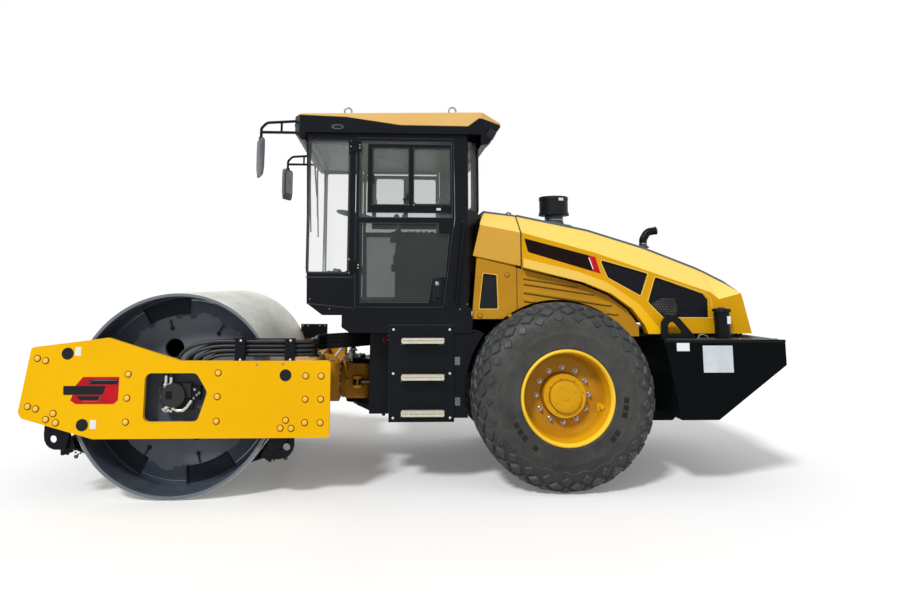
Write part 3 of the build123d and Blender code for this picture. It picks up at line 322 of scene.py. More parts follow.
# Pale yellow: painted highlight on the domed bolt heads.
LIT_BOLT_YELLOW = painted("bolt_paint_lit", (255, 208, 96), (252, 196, 76), 0.35, grime=0.03)
GREY_PAINT = painted("gray_paint", (88, 98, 108), (76, 86, 96), 0.5, grime=0.1)
DECAL_BLACK = moulded("black_film", (30, 18, 16), (22, 14, 12), 0.4, 300, 0.0001, gloss=0.05)
# Pale yellow: painted highlight along the edges of the grille and vent openings.
LIT_YELLOW_EDGE = painted("yellow_edge_lit", (244, 200, 92), (236, 188, 74), 0.4, grime=0.05)
TREAD = metal("tread_metal", (226, 222, 204), (196, 190, 170), 0.5, 40, metallic=0.15)
# Light gray: trim and thin lines along edges, lightened as a painted highlight.
TRIM_HIGHLIGHT = moulded("trim_highlight", (70, 75, 81), (54, 58, 63), 0.4)
LABEL_GREY = moulded("label_film_gray", (216, 222, 228), (200, 206, 212), 0.45, 300, 0.0001)
WIRE = painted("grille_wire", (32, 35, 40), (24, 27, 32), 0.5, gloss=0.1, grime=0.1)
PATCH = moulded("radiator_core", (92, 90, 86), (58, 56, 54), 0.5, 160, 0.002)
# Dark bands: painted shadow under the louvres and painted shade round the knobs, and the real joint between
# the panels.
JOINT_AND_SHADOW = moulded("panel_joint_and_shadow", (96, 64, 18), (78, 52, 12), 0.6)
ROD = metal("rod_steel", (104, 92, 70), (84, 72, 50), 0.3)
# The body yellow darkened: painted shade for the louvres and knobs on the side panels.
SHADED_LOUVRE_YELLOW = painted("louvre_paint_shaded", (196, 146, 38), (184, 132, 30), gloss=0.12, grime=0.08)
NUT = metal("zinc_nut", (196, 192, 186), (146, 140, 134), 0.3)
RIM_DARK = painted("rim_shade", (150, 100, 12), (130, 84, 8), 0.4, grime=0.2)
PIPE_IRON = painted("pipe_iron", (78, 80, 82), (62, 64, 66), 0.65, grime=0.3)
WELD = metal("weld_seam", (150, 156, 164), (116, 122, 130), 0.35, 50)
# Dark slate: the rods' paint, and painted shade for the pockets inside the drum.
SLATE_AND_POCKET_SHADE = painted("dark_paint_and_pocket_shade", (42, 47, 56), (34, 39, 47), 0.5, gloss=0.1, grime=0.1)
HEADLINER = moulded("headliner", (150, 154, 148), (138, 142, 136), 0.8, 260, 0.001)
FLOOR_MAT = moulded("floor_mat", (44, 45, 46), (32, 33, 34), 0.7, 90, 0.002)
MIRROR = metal("mirror_face", (104, 108, 108), (78, 82, 84), 0.2, 8)
# Light edges on the tread blocks: painted highlight.
TYRE_BLOCK = painted("tyre_tread", (62, 65, 66), (44, 46, 48), 0.5, worn_lit_edge=(128, 132, 132), gloss=0.35,
                     grime=0.4)
TYRE_PAD = moulded("tyre_pad", (34, 33, 32), (24, 23, 22), 0.5, 220, 0.001)
# Near-white yellow: painted highlight on the rim's rolled lip.
RIM_LIP_HIGHLIGHT = painted("rim_lip_highlight", (255, 214, 58), (250, 200, 40), 0.3, gloss=0.3, grime=0.04)
TYRE_LINE = moulded("tyre_line", (104, 102, 96), (70, 68, 64), 0.6, 220, 0.001)
DOOR_GLASS = pane("door_glass", (150, 160, 153), (132, 142, 136), 0.17)
LOW_GLASS = pane("low_glass", (70, 78, 74), (54, 62, 58), 0.44)
TYRE = tyre_rubber()
DRUM_STEEL = rolled_steel()
GLASS = pane("glass", (222, 230, 224), (208, 218, 211), 0.08)
VINYL = vinyl()
ANTI_SLIP = anti_slip()
MUD = mud()
DRUM_END = drum_end()

NODE_FINISH = {name: finish for finish, names in (
    (YELLOW, "side_plate_left side_plate_right"), (HOOD_LIT_PAINT, "hood"), (COWL_LIT_PAINT, "cowl"),
    (SHADED_PANEL_YELLOW, "side_panels"), (RIM_LIT_PAINT, "rim_left rim_right"), (SHADED_YELLOW, "hitch rear_crossmember"),
    (WEIGHT_PAINT, "counterweight"), (SKY_LIT_ROOF, "roof_cap"), (DRUM_STEEL, "drum_shell"),
    (DRUM_END, "drum_disc_left drum_disc_right"), (SLATE, "drum_supports"),
    (IRON, "drum_motors engine_block"),
    (RUBBER, "drum_isolators plate_hoses swing_hoses steer_hoses"), (TYRE, "tyre_left tyre_right"),
    (STEEL, "lifting_rings pivot_pin"), (ROD, "steering_rod_left steering_rod_right"),
    (GLASS, "cab_glass door_glass_left door_glass_right"), (VINYL, "seat_cushion seat_back"),
    (PLASTIC, "seat_base side_consoles steering_column steering_wheel air_precleaner"),
    (GREY_PLASTIC, "mirrors"),
) for name in names.split()}
SHARP = "plate_hoses swing_hoses steer_hoses lifting_rings cab_glass door_glass_left door_glass_right".split()


def soften(piece, width, angle):
    """Rounded edges for the eye, and the modifier that keeps flat faces flat beside them."""
    soft = piece.modifiers.new("soft_edges", "BEVEL")
    soft.width = width
    soft.segments = 2
    soft.limit_method = "ANGLE"
    soft.angle_limit = radians(angle)
    return piece.modifiers.new("shading", "WEIGHTED_NORMAL")


for name, node in NODES.items():
    node.data.materials.clear()
    node.data.materials.append(NODE_FINISH.get(name, BLACK))
    if name not in SHARP:
        node.modifiers.new("weld", "WELD").merge_threshold = 0.00002
        soften(node, 0.004, 32).weight = 100

# ---------------------------------------------------------------- pieces


def turns(steps):
    """The angles of a full circle's equal steps."""
    return [tau * k / steps for k in range(steps)]


def placed(name, data):
    """A new object in the scene."""
    made = bpy.data.objects.new(name, data)
    bpy.context.scene.collection.objects.link(made)
    return made


def evaluated(source):
    """The mesh of an object with its modifiers applied."""
    bpy.context.view_layer.update()
    return bpy.data.meshes.new_from_object(source.evaluated_get(bpy.context.evaluated_depsgraph_get()))


class Piece:
    """One piece put together from closed forms in millimetres; each takes the finish chosen last.

    Y is counted outwards on the piece's side of the machine, -1 for the left and 1 for the right.
    """

    def __init__(self, name, body, side=1):
        self.name, self.body, self.side = name, body, side
        self.mesh = bmesh.new()
        self.finishes = []
        self.paint = 0

    def __call__(self, finish):
        """The piece, with a finish for what is added next."""
        if finish not in self.finishes:
            self.finishes.append(finish)
        self.paint = self.finishes.index(finish)
        return self

    def spot(self, place):
        return Vector((place[0], place[1] * self.side, place[2]))

    def loft(self, rings, turn=None, closed=False):
        """A skin through rings of points, with flat ends or closed back to the first ring.

        A matrix takes points of a form's own axes straight to the machine's.
        """
        count = len(rings[0])
        places = [turn @ Vector(p) if turn else self.spot(p) for ring in rings for p in ring]
        corners = [self.mesh.verts.new(place) for place in places]
        total = len(corners)
        faces = [] if closed else [tuple(reversed(range(count))), tuple(range(total - count, total))]
        for r in range(0, total if closed else total - count, count):
            after = (r + count) % total
            faces += [(r + i, r + (i + 1) % count, after + (i + 1) % count, after + i) for i in range(count)]
        for face in faces:
            self.mesh.faces.new([corners[i] for i in face]).material_index = self.paint

    def box(self, x, y, z, turn=None):
        self.loft([[(x[0], y[0], h), (x[1], y[0], h), (x[1], y[1], h), (x[0], y[1], h)] for h in z], turn)

    def slab(self, outline, y):
        """Side outline (X, Z) made solid between two Y."""
        self.loft([[(a, d, b) for a, b in outline] for d in y])

    def turned(self, place, profile, steps=20, axis=OUT, lean=0.0):
        """A round form from (radius, distance along the axis) pairs."""
        way = self.spot(axis).to_track_quat("Z", "Y").to_matrix().to_4x4()
        rings = [[(r * cos(a + lean), r * sin(a + lean), h) for a in turns(steps)] for r, h in profile]
        self.loft(rings, Matrix.Translation(self.spot(place)) @ way)

    def stud(self, place, radius, height, steps=10, axis=OUT):
        self.turned(place, [(radius, 0), (radius, height)], steps, axis)

    def bolt(self, place, size, axis=OUT, height=None):
        """Hexagon head on a washer."""
        height = height or size * 0.7
        self.turned(place, [(size * 1.3, -1), (size * 1.3, 1.5)], 14, axis)
        self.turned(place, [(size, 1), (size, height), (size * 0.8, height + 1)], 6, axis, 0.3)

    def tube(self, points, radius, steps=8):
        """A round bar through points, mitred at each."""
        points = [self.spot(p) for p in points]
        side = None
        rings = []
        for i, point in enumerate(points):
            before = (point - points[i - 1]).normalized() if i else None
            after = (points[i + 1] - point).normalized() if i + 1 < len(points) else None
            way = (before + after).normalized() if before and after else (before or after)
            side = side or way.orthogonal().normalized()
            side = (side - way * side.dot(way)).normalized()
            other = way.cross(side)
            wide = radius / max(0.5, way.dot(after or before))
            rings.append([point + (side * cos(a) + other * sin(a)) * wide for a in turns(steps)])
        self.loft(rings, Matrix())

    def frame(self, outline, width, y, round_off=0):
        """A flat strip round an outline: outside it, or inside it when the width is negative."""
        outer = spread(outline, width)
        if round_off:
            outline, outer = rounded(outline, round_off), rounded(outer, round_off + max(width, 0))
        rows = ((outline, y[0]), (outer, y[0]), (outer, y[1]), (outline, y[1]))
        self.loft([[(a, d, b) for a, b in row] for row, d in rows], closed=True)

    def done(self, slot, *stands_for, edge=1.5, sharp=35):
        bmesh.ops.recalc_face_normals(self.mesh, faces=self.mesh.faces)
        bmesh.ops.scale(self.mesh, vec=(MM, MM, MM), verts=self.mesh.verts)
        data = bpy.data.meshes.new(self.name)
        self.mesh.to_mesh(data)
        self.mesh.free()
        for finish in self.finishes:
            data.materials.append(finish)
        data.shade_smooth()
        data.set_sharp_from_angle(angle=radians(sharp))
        piece = placed(self.name, data)
        if edge:
            soften(piece, edge * MM, sharp)
        if stands_for:
            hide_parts(*stands_for)
        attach(piece, self.body)


def spoke(centre, radius, degrees, y):
    """The point at an angle round an axle (X, Z); angles in degrees from +X towards +Z."""
    a = radians(degrees)
    return (centre[0] + radius * cos(a), y, centre[1] + radius * sin(a))


def arc(centre, radius, start, end, steps):
    """Points (X, Z) on an arc."""
    return [spoke(centre, radius, start + (end - start) * i / steps, 0)[::2] for i in range(steps + 1)]


def rounded(outline, radius, steps=4):
    """The outline with its corners rounded."""
    points = []
    for i, corner in enumerate(outline):
        corner = Vector(corner)
        to_last = (Vector(outline[i - 1]) - corner).normalized()
        to_next = (Vector(outline[(i + 1) % len(outline)]) - corner).normalized()
        half = acos(max(-1, min(1, to_last.dot(to_next)))) / 2
        back = radius / tan(half)
        start, end = corner + to_last * back, corner + to_next * back
        for t in (k / steps for k in range(steps + 1)):
            points.append(tuple(start * (1 - t) ** 2 + corner * 2 * t * (1 - t) + end * t * t))
    return points


def spread(outline, by):
    """The outline moved out by a distance, or in by a negative one."""
    count = len(outline)
    centre = Vector((sum(p[0] for p in outline) / count, sum(p[1] for p in outline) / count))
    points = []
    for i in range(count):
        a, b, c = (Vector(outline[(i + k) % count]) for k in (-1, 0, 1))
        n1, n2 = (Vector((edge.y, -edge.x)).normalized() for edge in (b - a, c - b))
        if n1.dot(b - centre) < 0:
            n1, n2 = -n1, -n2
        middle = (n1 + n2).normalized()
        points.append(tuple(b + middle * (by / max(0.4, middle.dot(n1)))))
    return points


def hoses(name, routes, node):
    """Hoses as smooth tubes, made into one mesh that stands for a node. Routes in millimetres."""
    curve = bpy.data.curves.new(name + "_lines", "CURVE")
    curve.dimensions = "3D"
    curve.bevel_depth = 14.5 * MM
    curve.bevel_resolution = 3
    curve.resolution_u = 8
    curve.use_fill_caps = True
    for route in routes:
        line = curve.splines.new("NURBS")
        line.points.add(len(route) - 1)
        for point, place in zip(line.points, route):
            point.co = (*(c * MM for c in place), 1.0)
        line.order_u = 3
        line.use_endpoint_u = True
    source = placed(name + "_lines", curve)
    data = evaluated(source)
    bpy.data.objects.remove(source)
    data.name = name
    data.materials.clear()
    data.materials.append(RUBBER)
    data.shade_smooth()
    piece = placed(name, data)
    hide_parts(node)
    return piece


# ---------------------------------------------------------------- front frame

RING_BOLTS = [(-2832, 1042), (-2771, 1025), (-2877, 695), (-2818, 678), (-2689, 644), (-2740, 602),
              (-2667, 578),
              (-2161, 926), (-2161, 753), (-2161, 581), (-1497, 934), (-1497, 761), (-1497, 584), (-843, 911),
              (-843, 740), (-843, 570), (-727, 910), (-727, 740), (-727, 569), (-985, 588), (-1023, 531),
              (-942, 529)]
PLUGS = [(-2614, 1077), (-2475, 561), (-995, 916)]
PLATE_FACE = 1140  # Y of the side plate's outside
MOTOR = (-1866, 768)  # the drum motor's centre (X, Z)
BADGE = [  # finish, height over the plate, outline
    (RED, 1.2, [(-2490, 907), (-2225, 907), (-2225, 738), (-2256, 711), (-2532, 711), (-2572, 738),
                (-2560, 768),
                (-2548, 836)]),
    (PLASTIC, 2.0, [(-2436, 890), (-2232, 890), (-2232, 853), (-2455, 853)]),
    (PLASTIC, 2.0, [(-2629, 837), (-2622, 842), (-2326, 842), (-2320, 836), (-2336, 784), (-2345, 778),
                    (-2621, 778),
                    (-2626, 784)]),
    (PLASTIC, 2.0, [(-2530, 769), (-2352, 769), (-2364, 739), (-2500, 739)]),
    (GREY_PLASTIC, 2.8, [(-2424, 886), (-2238, 886), (-2238, 880), (-2427, 880)]),
    (GREY_PLASTIC, 2.8, [(-2424, 886), (-2418, 886), (-2440, 857), (-2446, 857)]),
    (GREY_PLASTIC, 2.8, [(-2480, 733), (-2366, 733), (-2369, 727), (-2474, 727)]),
    (GREY_PLASTIC, 2.8, [(-2356, 770), (-2350, 770), (-2366, 733), (-2372, 733)])]

for name, side in SIDES:
    p = Piece("plate_bolts_" + name, "front_frame", side)
    for x, z in RING_BOLTS:
        place = (x, PLATE_FACE, z)
        # Recessed ring in painted shade, with the bolt head over it.
        p(BOLT_RING_SHADE).turned(place, [(26, -2), (26, 1.5), (24, 3), (20, 1.2), (15, 0.8)], 24)
        # Bolt head in a paler yellow: painted highlight.
        p(LIT_BOLT_YELLOW).turned(place, [(20, -2), (20, 4.5), (17.5, 7.5), (8, 9.5)], 18, lean=DICE.random())
    for x, z in PLUGS:
        p(PLASTIC).turned((x, PLATE_FACE, z), [(44, -2), (44, 2), (38, 3), (36, 0.6)], 28)
    for x, z in ((-1214, 998), (-1019, 1003)):
        p(STEEL).bolt((x, PLATE_FACE, z), 7, height=7)
    p.done("machined_steel", edge=0.8)

    p = Piece("plate_badge_" + name, "front_frame", side)
    for finish, height, outline in BADGE:
        p(finish).slab(outline, (PLATE_FACE - 1, PLATE_FACE + height))
    for x, z in ((-2538, 1093), (-2396, 564)):
        p(LABEL).box((x - 22, x + 22), (PLATE_FACE - 1, PLATE_FACE + 1.2), (z - 32, z + 32))
    p.done("yellow_paint", edge=0.2)

    # The drum motor and its fittings, seen through the plate's window.
    p = Piece("motor_fittings_" + name, "front_frame", side)
    p(IRON).turned((MOTOR[0], 1058, MOTOR[1]),
                   [(78, -4), (78, 6), (60, 12), (56, 30), (42, 34), (40, 46), (24, 50)], 28)
    for finish, x, y, z in ((BLACK, (-1930, -1900), (1056, 1080), (722, 812)),
                            (BLACK, (-1888, -1844), (1092, 1112), (742, 796)),
                            (IRON, (-1815, -1755), (1010, 1075), (716, 800)),
                            (IRON, (-1778, -1716), (1012, 1060), (740, 850)),
                            (IRON, (-1800, -1700), (1012, 1040), (650, 735)),
                            (BLACK, (-1722, -1645), (1018, 1050), (722, 822))):
        p(finish).box(x, y, z)
    for dx, dz in ((-34, 34), (34, 30), (-30, -34), (30, -30)):
        p(STEEL).bolt((MOTOR[0] + dx, 1090, MOTOR[1] + dz), 6)
    for angle in range(12, 360, 60):
        p.bolt(spoke(MOTOR, 62, angle, 1080), 7)
    for x, z in ((-1760, 790), (-1738, 770), (-1690, 800), (-1672, 760), (-1694, 735), (-1655, 775),
                 (-1712, 700), (-1742, 836)):
        p.bolt((x, 1052, z), 8)
    for x, reach in ((-1905, 92), (-1866, 78)):
        p(CHROME).turned((x, 1062, 818), [(17, -6), (17, 14), (20, 16), (20, 34), (14, 36), (14, reach)], 16,
                         UP)
        p.stud((x, 1062, 834), 23, 12, 6, UP)
        p(RUBBER).turned((x, 1062, 818 + reach), [(16, -4), (16, 70)], 14, UP)
    p(CHROME).turned((-1868, 1072, 690), [(24, -30), (24, 8), (18, 10), (18, 40), (23, 42), (23, 54)], 18,
                     (-0.6, 0, -0.5))
    p.turned((-1868, 1072, 690), [(19, -10), (19, 30), (24, 32), (24, 50)], 6, (0.9, 0, -0.3))
    p.tube([(-1845, 1076, 668), (-1800, 1078, 650), (-1762, 1080, 652), (-1735, 1080, 676),
            (-1702, 1078, 726)], 15, 14)
    p.tube([(-1845, 1066, 640), (-1872, 1066, 652), (-1900, 1066, 640)], 12, 12)
    p.done("engine_iron")

    # Brackets, bolts and caked soil on the scrapers.
    p = Piece("scraper_bolts_" + name, "front_frame", side)
    for x, z, flip in ((-2610, 372, 1), (-1062, 372, -1)):
        p(BLACK).slab([(x - 60, z + 100), (x + 20, z + 105), (x + 46 * flip, z - 20), (x - 34, z - 44)],
                      (1040, 1066))
        for dx, dz in ((-30, 64), (2, 34), (-24, 6)):
            p(STEEL).bolt((x + dx, 1066, z + dz), 8)
    p.done("black_paint")
    p = Piece("scraper_dirt_" + name, "front_frame")(MUD)
    for k in range(26):
        low_x, low_z = ((-1108, 300), (-2652, 328))[k % 2 == 0]
        x, z, size = low_x + DICE.uniform(0, 120), low_z + DICE.uniform(-26, 34), DICE.uniform(7, 19)
        turn = Matrix.Translation((x, side * DICE.uniform(940, 1050), z)) @ Matrix.Rotation(
            DICE.uniform(0, 3), 4, (1, DICE.random(), 0.4))
        ring = [(size * DICE.uniform(0.7, 1.2) * cos(a), size * DICE.uniform(0.7, 1.2) * sin(a))
                for a in turns(9)]
        p.loft([[(a * s, b * s, h * size) for a, b in ring]
                for s, h in ((0.45, -0.6), (0.95, -0.3), (1, 0.1), (0.7, 0.5), (0.3, 0.7))], turn)
    p.done("black_paint", edge=0)

# Hose clamps on the left plate, and the bolted bracket on the right one.
p = Piece("clamp_rails", "front_frame")
for z in ((1180, 1189), (1014, 1023)):
    p(BLACK).box((-1395, -924), (-1137, -1122), z)
for x in (-1345, -970):
    p(BLACK).box((x - 37, x + 37), (-1136, -1129), (1018, 1186))
    for z in (1030, 1172):
        p(WHITE).turned((x + 6, -1134, z), [(9, -2), (9, 5), (6, 8)], 12, (0, -1, 0))
for x in (-1140, -1085, -960, -905):
    p(STEEL).bolt((x, 1134, 1150), 7)
    p.bolt((x, 1078, 1152), 7, (0, -1, 0))
p.done("black_paint")

# Seven hoses, four in front and three behind them: over the plate, along the swing, round the steering joint.
ROWS = (1161, 1128, 1095, 1062)
SWEEPS = [[(-1815, 1022), (-1790, 1082), (-1690, 1141), (-1521, 1165)],
          [(-1749, 1022), (-1728, 1058), (-1630, 1110), (-1500, 1129)],
          [(-1683, 1016), (-1662, 1042), (-1580, 1082), (-1480, 1095)],
          [(-1610, 1010), (-1592, 1026), (-1530, 1055), (-1450, 1062)]]
OUTER = [(-902, -1084, 0), (-830, -1083, 0), (-780, -1010, 3), (-800, -830, 5), (-812, -690, 7),
         (-745, -560, 8)]
INNER = [(-902, -1052, 16), (-850, -1052, 16), (-812, -990, 19), (-832, -820, 21), (-842, -680, 23),
         (-768, -540, 24)]
BEND = [(-660, -500, 10), (-560, -450, 12), (-450, -375, 16), (-338, -282, 18), (-268, -282, 18)]
# For the hoses in front and behind: shift in X and Z, the foot's shift, and Y at four stages.
LANES = ((0, 0, -20, -1084, -1084, -1085, -1084), (24, 16, 4, -1052, -1053, -1055, -1054))
plate_routes, swing_routes, steer_routes = [], [], []
for k, (z, sweep) in enumerate(zip(ROWS, SWEEPS)):
    for dx, dz, foot, y0, y1, y2, y3 in LANES[:2 if k else 1]:
        plate_routes.append([(sweep[0][0] + foot, y0, 948), *((x + dx, y1, up + dz) for x, up in sweep),
                             (-1345, y2, z + dz), (-970, y2, z + dz), (-900, y3, z + dz)])
for lane, rows, lift in ((OUTER, ROWS, 0), (INNER, ROWS[1:], 16)):
    for z in rows:
        swing_routes.append([(x, y, z + rise) for x, y, rise in lane])
        steer_routes.append([swing_routes[-1][-1]] + [(x, y, z + rise + lift) for x, y, rise in BEND])
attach(hoses("plate_hose_lines", plate_routes, "plate_hoses"), "front_frame")
swing = hoses("swing_hose_lines", swing_routes, "swing_hoses")
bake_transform(swing)
bends = hoses("steer_hose_lines", steer_routes, "steer_hoses")
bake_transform(bends)

# Inside the drum: pockets round the rim as flat dark slabs of painted shade, short rods, the weld and the
# hub's bolts.
for name, side in SIDES:
    p = Piece("drum_pockets_" + name, "drum", side)
    for finish, spans, rows in (
            (SLATE_AND_POCKET_SHADE, ((90, 120), (152, 182), (212, 243), (274, 305), (332, 360)),
             ((722, 596, 10, 8, 757, 767), (597, 590, 8, 8, 757, 778))),
            (WELD, ((121, 151), (183, 211), (244, 273), (306, 331), (1, 89)),
             ((707, 699, 24, 24, 760, 770),))):
        for start, end in spans:
            for outer, inner, m, n, low, high in rows:
                p(finish).slab(arc(AXLE, outer, start, end, m) + arc(AXLE, inner, end, start, n), (low, high))
            for a in (start, end) if finish == SLATE_AND_POCKET_SHADE else ():
                p.slab(arc(AXLE, 722, a - 0.5, a + 0.5, 1) + arc(AXLE, 592, a + 0.5, a - 0.5, 1), (757, 786))
    for angle, radius in ((105, 501), (61, 506), (240, 526), (284, 519)):
        p(SLATE_AND_POCKET_SHADE).tube([spoke(AXLE, r, angle, 776) for r in (radius - 8, radius + 62)], 6)
        p.turned(spoke(AXLE, radius - 8, angle, 765), [(15, -2), (15, 14), (9, 20)], 14)
    for k in range(12):
        p(STEEL).bolt(spoke(AXLE, 166, 30 * k + 10, 860), 13)
    p.done("dark_paint", edge=1)

# ---------------------------------------------------------------- hitch, steps and counterweight

p = Piece("hitch_details", "hitch")
for p.side in (-1, 1):
    p(SHADED_YELLOW).slab([(-602, 766), (-568, 762), (-568, 708), (-602, 700)], (158, 216))
    p.box((-598, -580), (150, 322), (846, 960))
    p(BLACK).box((-600, -538), (196, 318), (930, 946))
    p(WHITE).turned((-552, 292, 946), [(17, 0), (17, 62), (13, 66)], 14, UP)
    p(STEEL).turned((-580, 262, 946), [(15, 0), (15, 22), (11, 24), (11, 48)], 12, UP)
    p.stud((-580, 262, 960), 19, 14, 6, UP)
    p(CHROME).tube([(-552, 292, 1004), (-548, 280, 1040), (-520, 250, 1046), (-500, 220, 1010)], 8, 10)
    for x in (-600, -570, -540):
        p(STEEL).bolt((x, 318, 938), 6)
p.done("yellow_paint")

p = Piece("housing_details", "front_frame")
for p.side in (-1, 1):
    for z in (650, 740, 830, 890):
        p(STEEL).bolt((-640, 330, z), 12, (1, 0, 0))
        p.bolt((-640, 268, z), 9, (1, 0, 0))
    p(CHROME).tube([(-735, 318, 905), (-722, 316, 925), (-640, 306, 1030), (-626, 304, 1040)], 11, 12)
    p(SHADED_YELLOW).slab([(-785, 912), (-640, 912), (-640, 940), (-700, 985), (-785, 996)], (296, 330))
    p(STEEL).bolt((-700, 330, 940), 12)
    p.bolt((-752, 330, 950), 12)
    p(BLACK).box((-880, -800), (420, 640), (1000, 1024))
    for x in (-866, -814):
        p(STEEL).bolt((x, 520, 1024), 9, UP)
p.done("yellow_paint")

p = Piece("pivot_lugs", "rear_frame")
p(BLACK).slab([(-512, 545), (-502, 516), (-377, 460), (-272, 480), (-272, 545)], (-62, 62))
for k in range(6):
    a = radians(60 * k + 15)
    p(STEEL).bolt((-490 + 46 * cos(a), 46 * sin(a), 960), 8, UP)
for p.side in (-1, 1):
    for z in (1010, 975, 930):
        p(WHITE).stud((-372, 420, z), 7, 5, 10, (-1, 0, 0))
p.done("black_paint")

for name, side in SIDES:
    p = Piece("step_treads_" + name, "rear_frame", side)
    for top in (600, 878, 1163):
        p(TREAD).slab(rounded([(-118, top - 31), (224, top - 31), (224, top + 2), (-118, top + 2)], 16),
                      (851, 941))
        for k in range(20):
            p(TRIM_HIGHLIGHT).turned((-99 + 16 * k, 941, top - 8), [(4.5, -1), (4.5, 0.7)], 8)
        for y in (858, 896, 934):
            for k in range(21):
                x = -104 + 16 * k + (8 if y == 896 else 0)
                p(TREAD).loft([[(x - a, y - b, z), (x + a, y - b, z), (x + a, y + b - 1, z),
                                (x - a, y + b - 1, z)]
                               for a, b, z in ((5, 7, top), (1.5, 5, top + 9))])
        for x, way in ((-104, -1), (208, 1)):
            p(BLACK).box((x - 8, x + 8), (850, 862), (top - 70, top - 28))
            for dx in (-11, 13):
                p(STEEL).stud((x + way * dx, 850, top - 46), 4, 2.5, 8)
    p(BLACK).box((-214, 310), (848, 853.5), (1206, 1273))
    # Light lines along the top and front edges: painted highlight.
    p(TRIM_HIGHLIGHT).box((-214, 310), (850, 855), (1271, 1274))
    p.box((-216, -214), (832, 851), (514, 1270))
    for x in (-180, 276):
        for y, z in ((853, 1236), (850, 889), (850, 545)):
            p(WHITE).turned((x, y, z), [(10, -1), (10, 3), (6.5, 6)], 14)
    for z in (954, 636):
        p(GREY_PLASTIC).box((316, 360), (831, 833.4), (z, z + 64))
    p(RED).tube([(-238, 644, 1163), (-256, 646, 1159), (-262, 646, 1139), (-254, 646, 1119)], 9, 10)
    for z in (1204, 1171, 1140):
        p(WHITE).stud((-226, 640, z), 5, 3)
    p.done("black_paint", edge=0.8)

FILLER = (2510, -905)  # X and Y of the filler neck and its ribbed cap
p = Piece("counterweight_details", "rear_frame")
p(ANTI_SLIP).box((2012, 2926), (-1034, 1034), (1167, 1171.5))
for p.side in (-1, 1):
    # The light line along the top lip is a painted highlight.
    for finish, x, y, z in ((BLACK, (1964, 2948), (1040, 1052), (1150, 1172)),
                            (TRIM_HIGHLIGHT, (1990, 2940), (1047, 1053), (1171, 1173.5)),
                            (LABEL, (2061, 2164), (1049, 1051.2), (1083, 1146)),
                            (LABEL_GREY, (2270, 2512), (1049, 1051.2), (917, 1126))):
        p(finish).box(x, y, z)
    p(STEEL).tube([(2300, 915, 1172), (2308, 915, 1196), (2340, 915, 1204), (2372, 915, 1190),
                   (2380, 915, 1172)], 7, 10)
    for x in (2600, 2760, 2900):
        p.bolt((x, 1000, 1171), 10, UP)
for y in (-900, -300, 300, 900):
    p(BLACK).turned((2946, y, 1060), [(30, -2), (30, 4), (22, 5), (20, 1)], 20, (1, 0, 0))
p(PLASTIC).turned((*FILLER, 1384), [(68, 0), (70, 4), (70, 22), (62, 28), (30, 29), (26, 36), (10, 37)], 26,
                  UP)
p(BLACK).turned((*FILLER, 1168), [(72, 0), (72, 10), (62, 14)], 26, UP)
p(LABEL).slab([(2520, 1290), (2556, 1290), (2556, 1352), (2520, 1352)], (-963, -948))
for a in turns(8):
    turn = Matrix.Translation((*FILLER, 0)) @ Matrix.Rotation(a, 4, "Z")
    p(BLACK).box((-5, 5), (-74, -68), (1386, 1408), turn)
p.done("black_paint")

# ---------------------------------------------------------------- cab

QUARTER = [(-890, 1694), (-560, 1694), (-560, 2784), (-893, 2784)]
DOOR = [(-500, 1412), (228, 1412), (320, 2143), (314, 2818), (-500, 2818)]
UPPER = [(-474, 2145), (301, 2145), (296, 2788), (-474, 2788)]
LOWER = [(-466, 2102), (188, 2102), (188, 2012), (274, 2008), (240, 1660), (137, 1650), (103, 1451),
         (-456, 1449)]
SLIDERS = [((-361, 2258), (-68, 2258), (-68, 2728), (-361, 2728)),
           ((-19, 2264), (279, 2264), (279, 2725), (-19, 2725))]
MIRROR_HEAD = [(-21, 2800), (-8, 2812), (12, 2810), (21, 2790), (21, 2560), (14, 2500), (2, 2482),
               (-10, 2486), (-20, 2560),
               (-22, 2712)]
MIRROR_RINGS = [(-94, 0.45), (-90, 0.75), (-77, 0.97), (0, 1), (77, 0.97), (90, 0.75), (94, 0.45)]
MIRROR_FACE = [(-0.9, 2788), (0.9, 2788), (1, 2700), (0.9, 2556), (-0.9, 2556), (-1, 2700)]
MIRROR_AXIS = (-1309, 775)  # X and Y
